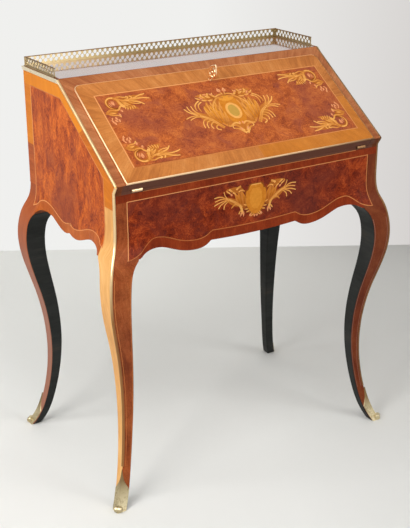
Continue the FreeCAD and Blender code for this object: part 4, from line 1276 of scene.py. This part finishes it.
def sections(name, low, high, step):
    # the sawn leg's extent at even heights
    mesh = nodes[name].data
    points = [vertex.co for vertex in mesh.vertices]
    pairs = [(points[edge.vertices[0]], points[edge.vertices[1]]) for edge in mesh.edges]
    count = max(2, int((high - low) / step))
    found = []
    for index in range(count + 1):
        z = low + (high - low) * index / count
        xs, ys = [], []
        for a, b in pairs:
            if (a.z - z) * (b.z - z) <= 0 and abs(a.z - b.z) > 1e-7:
                share = (z - a.z) / (b.z - a.z)
                xs.append(a.x + (b.x - a.x) * share)
                ys.append(a.y + (b.y - a.y) * share)
        found.append((z, min(xs), max(xs), min(ys), max(ys)))
    return found


def legRing(x0, x1, y0, y1, rounding, support):
    ring = []
    corners = ((x1, y1, 0), (x0, y1, 1), (x0, y0, 2), (x1, y0, 3))
    for x, y, quarter in corners:
        centre = (x - rounding if x == x1 else x + rounding, y - rounding if y == y1 else y + rounding)
        arc = []
        for step in range(4):
            angle = math.pi / 2 * (quarter + step / 3)
            arc.append(Vector((centre[0] + rounding * math.cos(angle),
                               centre[1] + rounding * math.sin(angle))))
        before = Vector((-math.sin(math.pi / 2 * quarter), math.cos(math.pi / 2 * quarter)))
        after = Vector((-math.sin(math.pi / 2 * (quarter + 1)), math.cos(math.pi / 2 * (quarter + 1))))
        ring += [arc[0] - before * support] + arc + [arc[-1] + after * support]
    return ring


def makeLeg(end, word, sign):
    look = legLook
    name = "leg_" + end + "_" + word
    low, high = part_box(name)
    rows = sections(name, low.z + look["trim"], high.z - look["trim"], look["step"])
    points, uvs, tones = [], [], []
    width = look["ringPoints"]
    for z, x0, x1, y0, y1 in rows:
        # above the knee it lies just behind the veneers
        seat = look["seat"] if z > look["seatFrom"] else 0
        ring = legRing(x0 + seat, x1 - seat, y0 + seat, y1 - seat, look["rounding"], look["support"])
        # the back legs' sides take a painted sheen, paler and greyer below the knee, and the right front
        # leg is darker
        tone = look["rightTone"] if sign > 0 else 0.0
        if end == "back":
            tone = min(1, max(0, (look["sheenFrom"] - z) / look["sheenRun"]))
        tones += [tone] * width
        around = 0.0
        for index, (x, y) in enumerate(ring):
            if index:
                around += math.dist(ring[index - 1], ring[index])
            points.append((x, y, z))
            uvs.append((z, around))
    # the outer faces are veneered, the inner ones and the back are black
    finish = [2, 2, 2, 2]
    finish[3 if sign > 0 else 1] = 0
    if end == "front":
        finish[2] = 1
    # six points to a corner; its second half begins the next face
    around = [finish[(column + 3) // 6 % 4 - 1] for column in range(width)]
    leg = newPiece(name + "_shaped", points, ringFaces(width, len(rows)), uvs, tones)
    leg.data.polygons.foreach_set("material_index", around * (len(rows) - 1) + [2, 2])
    smoothOver(leg, look["smooth"])
    settle(leg, "case", "veneered_leg", legGold if end == "front" else legPaintedSheen, legRed, blackLeg,
           replaced=(name,))
    return rows


def lineLeg(word, sign, rows):
    # fine light strings near the two edges of the front face
    look = legLook
    points, faces = [], []
    for z, x0, x1, y0, y1 in rows:
        if look["lineFoot"] < z < look["lineTop"]:
            inner, outer = (x0, x1) if sign > 0 else (x1, x0)
            for edge in (inner + sign * look["lineGap"], outer - sign * look["outerGap"]):
                points += [(edge, y0 - veneer["lift"], z),
                           (edge + sign * look["line"], y0 - veneer["lift"], z)]
    for first in range(0, len(points) - 4, 2):
        faces.append((first, first + 1, first + 5, first + 4))
    uvs = [(point[2], 0.0) for point in points]
    line = faceOutwards(newPiece("legString_" + word, points, faces, uvs, [0.2] * len(points)),
                        Vector((0, -1, 0)))
    thicken(line, veneer["thickness"])
    settle(line, "case", "crossband", dimLine if sign > 0 else boxLine)


legRows = {}
for word, sign in bothSides:
    for end in ("front", "back"):
        legRows[end, word] = makeLeg(end, word, sign)
    lineLeg(word, sign, legRows["front", word])
print("legs shaped")


# round brass beads on the front corners of the legs and on the sloping edges

stripLook = {"radius": 3.1 * mm, "inset": 2.1 * mm, "sides": 12, "slopeRadius": 3.2 * mm,
             "slopeInset": 2.0 * mm, "endGap": 2 * mm, "smooth": 60}


def makeBead(name, path, radius, metal, replaced):
    look = stripLook
    bead = smoothOver(sweep(name, tubeRings(path, radius, look["sides"])), look["smooth"])
    settle(bead, "case", "gilt_brass", metal, replaced=(replaced,))


def beadSide(word, sign):
    look = stripLook
    strip, slopeStrip = "leg_strip_" + word, "slope_strip_" + word
    low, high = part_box(strip)
    corner = [Vector(((x1 - look["inset"]) if sign > 0 else (x0 + look["inset"]), y0 + look["inset"], z))
              for z, x0, x1, y0, y1 in legRows["front", word] if z > low.z]
    corner.append(Vector((corner[-1].x, corner[-1].y, high.z)))
    corner.append(onSlope(corner[-1].x, look["inset"], slopeFace - look["slopeInset"]))
    # on the right the corner strip and the slope bead take the dim brass as painted shade
    makeBead("cornerStrip_" + word, corner, look["radius"], dimBrass if sign > 0 else stripBrass, strip)
    foot, head = reachAlong(slopeStrip, slopeUp)
    edge = [onSlope(sign * (caseSide - look["slopeInset"]), up, slopeFace - look["slopeInset"])
            for up in (foot + look["endGap"], (foot + head) / 2, head - look["endGap"])]
    makeBead("slopeBead_" + word, edge, look["slopeRadius"], dimBrass if sign > 0 else beadBrass,
             slopeStrip)


for word, sign in bothSides:
    beadSide(word, sign)
print("brass beads made")


# the brass edge round the top, a bead over a hollow

edgeLook = {"section": ((0.0, 906.5), (1.6, 906.5), (2.2, 907.2), (2.2, 908.4), (1.3, 909.4),
                        (1.3, 910.2), (2.6, 911.2), (3.0, 912.6), (2.6, 914.2), (1.6, 915.0),
                        (0.0, 915.0)), "smooth": 40}


def edgeTop():
    def frontEnd(z):
        up = (z - hingeLine.z - slopeFace * slopeOut.z) / slopeUp.z
        return hingeLine.y + up * slopeUp.y + slopeFace * slopeOut.y

    rings = []
    for sign, atBack in ((-1, False), (-1, True), (1, True), (1, False)):
        rings.append([(sign * (caseSide + out * mm), caseBack + out * mm if atBack else frontEnd(z * mm),
                       z * mm) for out, z in edgeLook["section"]])
    edging = smoothOver(sweep("topEdging", rings), edgeLook["smooth"])
    settle(edging, "case", "gilt_brass", edgeBrass, replaced=("top_moulding",))


edgeTop()


# the key's bow: a scrolled frame round the pierced rings

bowLook = {"outline": ((0, 35), (8, 38), (12.5, 46), (11.5, 56), (6, 63), (3, 67), (0, 70)),
           "wire": 1.9 * mm, "sides": 10, "smooth": 60}


def makeBow():
    look = bowLook
    half = smoothLine(look["outline"], 5)
    keyUp = (Vector(joints["key_turn"]["pos_m"]) - hingeLine).dot(slopeUp)
    outline = half + [Vector((-x, y)) for x, y in reversed(half[1:-1])]
    rings = []
    for index, here in enumerate(outline):
        step = (outline[(index + 1) % len(outline)] - outline[index - 1]).normalized()
        side = Vector((step.y, -step.x))
        ring = []
        for turn in range(look["sides"]):
            angle = 2 * math.pi * turn / look["sides"]
            flat = here * mm + side * (look["wire"] * math.cos(angle))
            ring.append(onSlope(look["wire"] * math.sin(angle), keyUp + flat.x, flat.y))
        rings.append(ring)
    bow = smoothOver(sweep("keyBow", rings, True), look["smooth"])
    settle(bow, "key", "gilt_brass", lipBrass)


makeBow()
print("edge and key bow made")


# trees for what repeats: the pierced gallery and the tooled border on the leather

def newGeometryTree(name, labels):
    # labels: input names with their kinds; gives the tree, its inlets by name and their identifiers
    tree = bpy.data.node_groups.new(name, "GeometryNodeTree")
    identifiers = {}
    for label, kind in labels:
        socket = tree.interface.new_socket(name=label, in_out="INPUT", socket_type="NodeSocket" + kind)
        identifiers[label] = socket.identifier
    tree.interface.new_socket(name="Made", in_out="OUTPUT", socket_type="NodeSocketGeometry")
    return tree, put(tree, "NodeGroupInput").outputs, identifiers


def shape(tree, kind, inputs, **settings):
    return put(tree, "GeometryNode" + kind, inputs, **settings).outputs[0]


def point(tree, x=0.0, y=0.0, z=0.0):
    return put(tree, "ShaderNodeCombineXYZ", {0: x, 1: y, 2: z}).outputs[0]


def joinParts(tree, *parts):
    joined = put(tree, "GeometryNodeJoinGeometry")
    for part in parts:
        tree.links.new(part, joined.inputs[0])
    return joined.outputs[0]


def closeTree(tree, geometry, material, *others):
    real = shape(tree, "RealizeInstances", {"Geometry": geometry})
    made = shape(tree, "SetMaterial", {"Geometry": real, "Material": material})
    put(tree, "NodeGroupOutput", {0: joinParts(tree, made, *others)})


def grown(name, tree, identifiers, values):
    # a piece made by a tree from named values
    piece = newPiece(name, [], [])
    modifier = piece.modifiers.new("grown", "NODES")
    modifier.node_group = tree
    for label, value in values.items():
        modifier[identifiers[label]] = value
    return baked(piece)


galleryLook = {"Spacing": 13.1 * mm, "Hole": 4.3 * mm, "Low Row": 8.2 * mm, "High Row": 14.7 * mm,
               "Thickness": 1.5 * mm, "Bead": 1.1 * mm, "Base Width": 6 * mm, "Base Height": 2.6 * mm,
               "Height": 21 * mm, "Bead Material": dimBrass}
fenceLook = {"holeSides": 20, "beadSides": 12, "weld": 0.01 * mm, "smooth": 35}


def makeGalleryTree():
    look = fenceLook
    kinds = {"Count": "Int", "Material": "Material", "Bead Material": "Material"}
    labels = [(label, kinds.get(label, "Float"))
              for label in ("Length", "Count", *galleryLook, "Material")]
    tree, inlet, identifiers = newGeometryTree("galleryFence", labels)
    half = maths(tree, "MULTIPLY", inlet["Length"], 0.5)
    beadMiddle = maths(tree, "SUBTRACT", inlet["Height"], inlet["Bead"])
    circle = shape(tree, "CurvePrimitiveCircle",
                   {"Resolution": look["holeSides"], "Radius": inlet["Hole"]})
    runHalf = maths(tree, "MULTIPLY", maths(tree, "MULTIPLY", inlet["Count"], inlet["Spacing"]), -0.5)
    holes = []
    for label, row in (("Low Row", 0), ("High Row", 1)):
        first = maths(tree, "MULTIPLY_ADD", inlet["Spacing"], 0.5 + row * 0.5, runHalf)
        line = shape(tree, "MeshLine", {"Count": maths(tree, "SUBTRACT", inlet["Count"], row),
                                        "Start Location": point(tree, first, inlet[label]),
                                        "Offset": point(tree, inlet["Spacing"])})
        holes.append(shape(tree, "InstanceOnPoints", {"Points": line, "Instance": circle}))
    sheet = shape(tree, "CurvePrimitiveQuadrilateral", {"Width": inlet["Length"], "Height": beadMiddle})
    middle = point(tree, y=maths(tree, "MULTIPLY", beadMiddle, 0.5))
    sheet = shape(tree, "Transform", {"Geometry": sheet, "Translation": middle})
    drawn = shape(tree, "RealizeInstances", {"Geometry": joinParts(tree, sheet, *holes)})
    plate = shape(tree, "FillCurve", {"Curve": drawn})
    raised = shape(tree, "ExtrudeMesh", {"Mesh": plate, "Offset": point(tree, z=inlet["Thickness"]),
                                         "Individual": False})
    under = shape(tree, "FlipFaces", {"Mesh": plate})
    solid = shape(tree, "MergeByDistance",
                  {"Geometry": joinParts(tree, raised, under), "Distance": look["weld"]})
    shift = point(tree, y=maths(tree, "MULTIPLY", inlet["Thickness"], 0.5))
    fence = shape(tree, "Transform",
                  {"Geometry": solid, "Translation": shift, "Rotation": (math.pi / 2, 0, 0)})
    rod = shape(tree, "CurvePrimitiveLine",
                {"Start": point(tree, maths(tree, "MULTIPLY", half, -1.0), 0.0, beadMiddle),
                 "End": point(tree, half, 0.0, beadMiddle)})
    section = shape(tree, "CurvePrimitiveCircle",
                    {"Resolution": look["beadSides"], "Radius": inlet["Bead"]})
    rod = shape(tree, "CurveToMesh", {"Curve": rod, "Profile Curve": section, "Fill Caps": True})
    size = point(tree, inlet["Length"], inlet["Base Width"], inlet["Base Height"])
    lift = point(tree, z=maths(tree, "MULTIPLY", inlet["Base Height"], 0.5))
    base = shape(tree, "Transform",
                 {"Geometry": shape(tree, "MeshCube", {"Size": size}), "Translation": lift})
    fence = shape(tree, "SetMaterial",
                  {"Geometry": joinParts(tree, fence, base), "Material": inlet["Material"]})
    closeTree(tree, rod, inlet["Bead Material"], fence)
    return tree, identifiers


galleryTree, galleryInlets = makeGalleryTree()


def makeGallery(word, turned, metal):
    node = "gallery_" + word
    low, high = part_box(node)
    length = (high.y - low.y) if turned else (high.x - low.x)
    values = dict(galleryLook, Length=length, Count=int(length / galleryLook["Spacing"]), Material=metal)
    run = grown("galleryFence_" + word, galleryTree, galleryInlets, values)
    middle = (low + high) / 2
    for vertex in run.data.vertices:
        x, y, z = vertex.co
        x, y = (-y, x) if turned else (x, y)
        vertex.co = (middle.x + x, middle.y + y, low.z + z)
    settle(smoothOver(run, fenceLook["smooth"]), "case", "gilt_brass", replaced=(node,))


makeGallery("back", False, fenceBrass)
for word in ("left", "right"):
    makeGallery(word, True, endBrass)
print("gallery made")


# the leather: two gilt lines with a row of small stamps between them

toolingLook = {"Gap": 9 * mm, "Spacing": 7 * mm, "Stamp": 2.2 * mm, "Line": 0.9 * mm,
               "Material": giltBrass}
stampLook = {"margin": 24 * mm, "rise": 0.3 * mm}


def makeToolingTree():
    labels = [(label, "Float") for label in ("Width", "Height", "Gap", "Spacing", "Stamp", "Line")]
    tree, inlet, identifiers = newGeometryTree("toolingBorder", labels + [("Material", "Material")])
    rise = stampLook["rise"]
    section = shape(tree, "CurvePrimitiveQuadrilateral", {"Width": inlet["Line"], "Height": rise})
    paths = []
    for share in (0.0, 1.0, 2.0):
        less = maths(tree, "MULTIPLY", inlet["Gap"], share)
        sizes = {label: maths(tree, "SUBTRACT", inlet[label], less) for label in ("Width", "Height")}
        paths.append(shape(tree, "CurvePrimitiveQuadrilateral", sizes))
    parts = [shape(tree, "CurveToMesh", {"Curve": path, "Profile Curve": section})
             for path in paths[::2]]
    spots = shape(tree, "ResampleCurve", {"Curve": paths[1], "Length": inlet["Spacing"]}, mode="LENGTH")
    stamp = shape(tree, "MeshCone",
                  {"Vertices": 4, "Radius Top": rise, "Radius Bottom": inlet["Stamp"], "Depth": rise})
    parts.append(shape(tree, "InstanceOnPoints", {"Points": spots, "Instance": stamp}))
    closeTree(tree, joinParts(tree, *parts), inlet["Material"])
    return tree, identifiers


def toolLeather():
    low, high = reachAlong("writing_leather", slopeUp)
    side = reachAlong("writing_leather", rightward)[1]
    tree, identifiers = makeToolingTree()
    margin = stampLook["margin"]
    values = dict(toolingLook, Width=2 * side - margin, Height=high - low - margin)
    border = grown("leatherTooling", tree, identifiers, values)
    for vertex in border.data.vertices:
        x, y, z = vertex.co
        vertex.co = onSlope(-x, (low + high) / 2 + y, -z)
    settle(border, "fall", "gilt_brass")


toolLeather()
print("leather tooled")


# small drawers: burr fronts in a crossband

drawerLook = {"edge": 0.4 * mm, "band": 7 * mm, "string": 1.0 * mm}


def dressDrawer(bay):
    look = drawerLook
    low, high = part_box("drawer_" + bay + "_front")
    outward = Vector((0, -1, 0))

    def place(lift):
        return lambda x, z: Vector((x, low.y - lift, z))

    edge, band = look["edge"], look["band"]
    outer = [(low.x + edge, low.z + edge), (high.x - edge, low.z + edge), (high.x - edge, high.z - edge),
             (low.x + edge, high.z - edge)]
    inner = offsetPath(outer, band, True)
    body = "drawer_" + bay
    flat = place(veneer["lift"])
    field = Sheet()
    field.grid([inner[:2], [inner[3], inner[2]]])
    laySheet(field, body + "_field", flat, outward, body, "burr_apron", drawerBurr)
    laySheet(frameBand(inner, outer, 8, 1), body + "_crossband", flat, outward, body, "crossband",
             redBand)
    lines = Sheet()
    stringLine(lines, inner, look["string"], True)
    laySheet(lines, body + "_string", place(veneer["lift"] + veneer["inlay"]), outward, body,
             "crossband", boxLine)


for bay in ("left", "centre", "right"):
    dressDrawer(bay)
print("drawers dressed")


# finishes on the pieces that keep their shape

dress(innerUpright, "side_panel_left", "side_panel_right", "nest_divider_left", "nest_divider_right",
      "nest_partition_left", "nest_partition_right")
dress(innerWood, "front_apron", "front_rail", "top_board", "lock_rail", "writing_bed", "well_lid",
      "nest_shelf", "fall_panel", "slope_stile_left", "slope_stile_right")
dress(backBoard, "back_panel", "case_bottom")
dress(plainOak, "well_back", "well_side_left", "well_side_right")
for bay in ("left", "centre", "right"):
    dress(innerWood, "drawer_" + bay + "_front")
    dress(plainOak, "drawer_" + bay + "_box")
    dress(plainBrass, "drawer_" + bay + "_knob")
dress(lipBrass, "key", "hinge_pins")
dress(plainBrass, "hinge_screws_case", "hinge_screws_fall", "strike_plate")
for word, sign in bothSides:
    dress(shoeBrass, "sabot_front_" + word, "sabot_back_" + word)
    dress(lipBrass, "hinge_" + word + "_case_leaf", "hinge_" + word + "_fall_leaf")
dress(oldSteel, "lock_bolt", "lock_case")
dress(deskLeather, "writing_leather")
print("frame pieces finished")


# room: pale floor, wall, soft lights and the camera

roomLook = {"floor": tint(234, 234, 230), "wall": tint(240, 240, 238), "wallShade": tint(196, 190, 187),
            "wallDistance": 3.62, "turn": 2.4, "floorFade": (1.7, 3.2), "wallFade": (0.9, 1.9),
            "floorShade": (0.3, 1.0, 0.8), "wallShadeRun": (0.1, 1.3), "reach": 9, "wallHalf": 6,
            "wallRise": 5}
worldLook = {"fill": 0.24, "seen": 0.8}
viewLook = {"azimuth": -32.79, "elevation": 21.96, "distance": 2.582, "focus": (0.0023, 0.0, 0.4305),
            "focalPixels": 1068.2, "framePixels": 528, "sensor": 36.0}


def seenRays(tree):
    # rays that show the room itself: to the camera, in a polish or through glass
    rays = put(tree, "ShaderNodeLightPath").outputs
    shown = maths(tree, "MAXIMUM", rays["Is Camera Ray"], rays["Is Glossy Ray"])
    return maths(tree, "MAXIMUM", shown, rays["Is Transmission Ray"])


def floorMaterial(across):
    # a little darker to the right, as the light falls off
    material, tree, shader, coords = newMaterial("paleFloor")
    patch = noise(tree, coords["Object"], 1.6, 4.0, 0.55)
    side = maths(tree, "MULTIPLY_ADD", patch, 0.2, along(tree, coords["Object"], across))
    start, end, shade = roomLook["floorShade"]
    colour = roomLook["floor"]
    darker = tuple(channel * shade for channel in colour[:3]) + (1,)
    plug(tree, shader, colour=mixColour(tree, span(tree, side, start, end), colour, darker),
         roughness=0.85)
    shader.inputs["Specular IOR Level"].default_value = 0.1
    # far off it melts into the pale surroundings
    reach = put(tree, "ShaderNodeVectorMath", {0: coords["Object"]}, operation="LENGTH").outputs["Value"]
    far = maths(tree, "MULTIPLY", span(tree, reach, *roomLook["floorFade"]), seenRays(tree))
    glow = put(tree, "ShaderNodeEmission", {"Strength": worldLook["seen"]}).outputs[0]
    mixed = put(tree, "ShaderNodeMixShader", {0: far, 1: shader.outputs[0], 2: glow}).outputs[0]
    tree.links.new(mixed, tree.nodes["Material Output"].inputs["Surface"])
    return material


def wallMaterial(foot, across):
    # seen by the camera or in a polish it shows its even tone, with painted shade darker to the right
    material, tree, shader, coords = newMaterial("paleWall")
    place = combined(tree, "SUBTRACT", coords["Object"], foot)
    mottle = noise(tree, coords["Object"], 0.8, 2.0)
    side = maths(tree, "MULTIPLY_ADD", mottle, 0.2, along(tree, place, across))
    shade = span(tree, side, *roomLook["wallShadeRun"])
    colour = mixColour(tree, shade, roomLook["wall"], roomLook["wallShade"])
    # past the frame it melts into the pale surroundings
    reach = maths(tree, "ABSOLUTE", along(tree, place, across))
    pale = (worldLook["seen"],) * 3 + (1,)
    colour = mixColour(tree, span(tree, reach, *roomLook["wallFade"]), colour, pale)
    plug(tree, shader, colour=colour, roughness=0.9)
    glow = put(tree, "ShaderNodeEmission", {"Color": colour, "Strength": 1.0}).outputs[0]
    mixed = put(tree, "ShaderNodeMixShader",
                {0: seenRays(tree), 1: shader.outputs[0], 2: glow}).outputs[0]
    # from behind it is clear, so that the desk's back can be looked at
    behind = put(tree, "ShaderNodeNewGeometry").outputs["Backfacing"]
    clear = put(tree, "ShaderNodeBsdfTransparent").outputs[0]
    oneSided = put(tree, "ShaderNodeMixShader", {0: behind, 1: mixed, 2: clear}).outputs[0]
    tree.links.new(oneSided, tree.nodes["Material Output"].inputs["Surface"])
    return material


def makeRoom(azimuth):
    look = roomLook
    away = Vector((-math.sin(azimuth), math.cos(azimuth), 0))
    across = Vector((math.cos(azimuth), math.sin(azimuth), 0))
    turn = math.radians(look["turn"])
    across = across * math.cos(turn) + away * math.sin(turn)
    foot = cameraPlace.copy()
    foot.z = 0
    foot += away * look["wallDistance"]
    far = look["reach"]
    floor = newPiece("floor", [(-far, -far, 0), (far, -far, 0), (far, far, 0), (-far, far, 0)],
                     [(0, 1, 2, 3)])
    floor.data.materials.append(floorMaterial(across))
    corners = [foot - across * look["wallHalf"], foot + across * look["wallHalf"]]
    rise = upward * look["wallRise"]
    wall = newPiece("wall", [corners[0], corners[1], corners[1] + rise, corners[0] + rise],
                    [(0, 1, 2, 3)])
    wall.data.materials.append(wallMaterial(foot, across))


def makeCamera():
    look = viewLook
    azimuth, elevation = math.radians(look["azimuth"]), math.radians(look["elevation"])
    back = Vector((math.sin(azimuth) * math.cos(elevation), -math.cos(azimuth) * math.cos(elevation),
                   math.sin(elevation)))
    lens = bpy.data.cameras.new("lens")
    lens.sensor_width = look["sensor"]
    lens.lens = look["focalPixels"] / look["framePixels"] * look["sensor"]
    camera = bpy.data.objects.new("camera", lens)
    bpy.context.scene.collection.objects.link(camera)
    camera.location = Vector(look["focus"]) + back * look["distance"]
    camera.rotation_euler = (-back).to_track_quat("-Z", "Y").to_euler()
    bpy.context.scene.camera = camera
    return camera.location.copy(), azimuth


# each soft box: its place, what it looks at, its width and height, and its power
lightLook = {"leftSoftbox": ((-2.5, -1.0, 1.9), (0, 0, 0.5), 1.2, 1.2, 42),
             "highSoftbox": ((-2.4, 0.15, 2.6), (0, 0, 0.7), 1.0, 1.0, 22),
             "rightSoftbox": ((1.5, -2.6, 1.9), (0, 0, 0.5), 1.2, 1.2, 26),
             "overheadSoftbox": ((-0.6, -1.2, 3.0), (-0.2, -0.4, 0.0), 2.0, 1.6, 24)}


def softLight(name, place, target, width, height, power):
    lamp = bpy.data.lights.new(name, "AREA")
    lamp.shape = "RECTANGLE"
    lamp.size = width
    lamp.size_y = height
    lamp.energy = power
    light = bpy.data.objects.new(name, lamp)
    bpy.context.scene.collection.objects.link(light)
    light.location = place
    light.rotation_euler = (Vector(target) - Vector(place)).to_track_quat("-Z", "Y").to_euler()


cameraPlace, cameraAzimuth = makeCamera()
makeRoom(cameraAzimuth)
for name, values in lightLook.items():
    softLight(name, *values)


def makeWorld():
    # pale where it is seen, and an even fill light for the rest
    look = worldLook
    world = bpy.data.worlds.new("studio")
    world.use_nodes = True
    tree = world.node_tree
    background = tree.nodes["Background"]
    background.inputs["Color"].default_value = (1, 1, 1, 1)
    strength = maths(tree, "MULTIPLY_ADD", seenRays(tree), look["seen"] - look["fill"], look["fill"])
    tree.links.new(strength, background.inputs["Strength"])
    bpy.context.scene.world = world


makeWorld()
bpy.context.scene.view_settings.view_transform = "Standard"
print("room and camera ready")

bpy.context.view_layer.update()
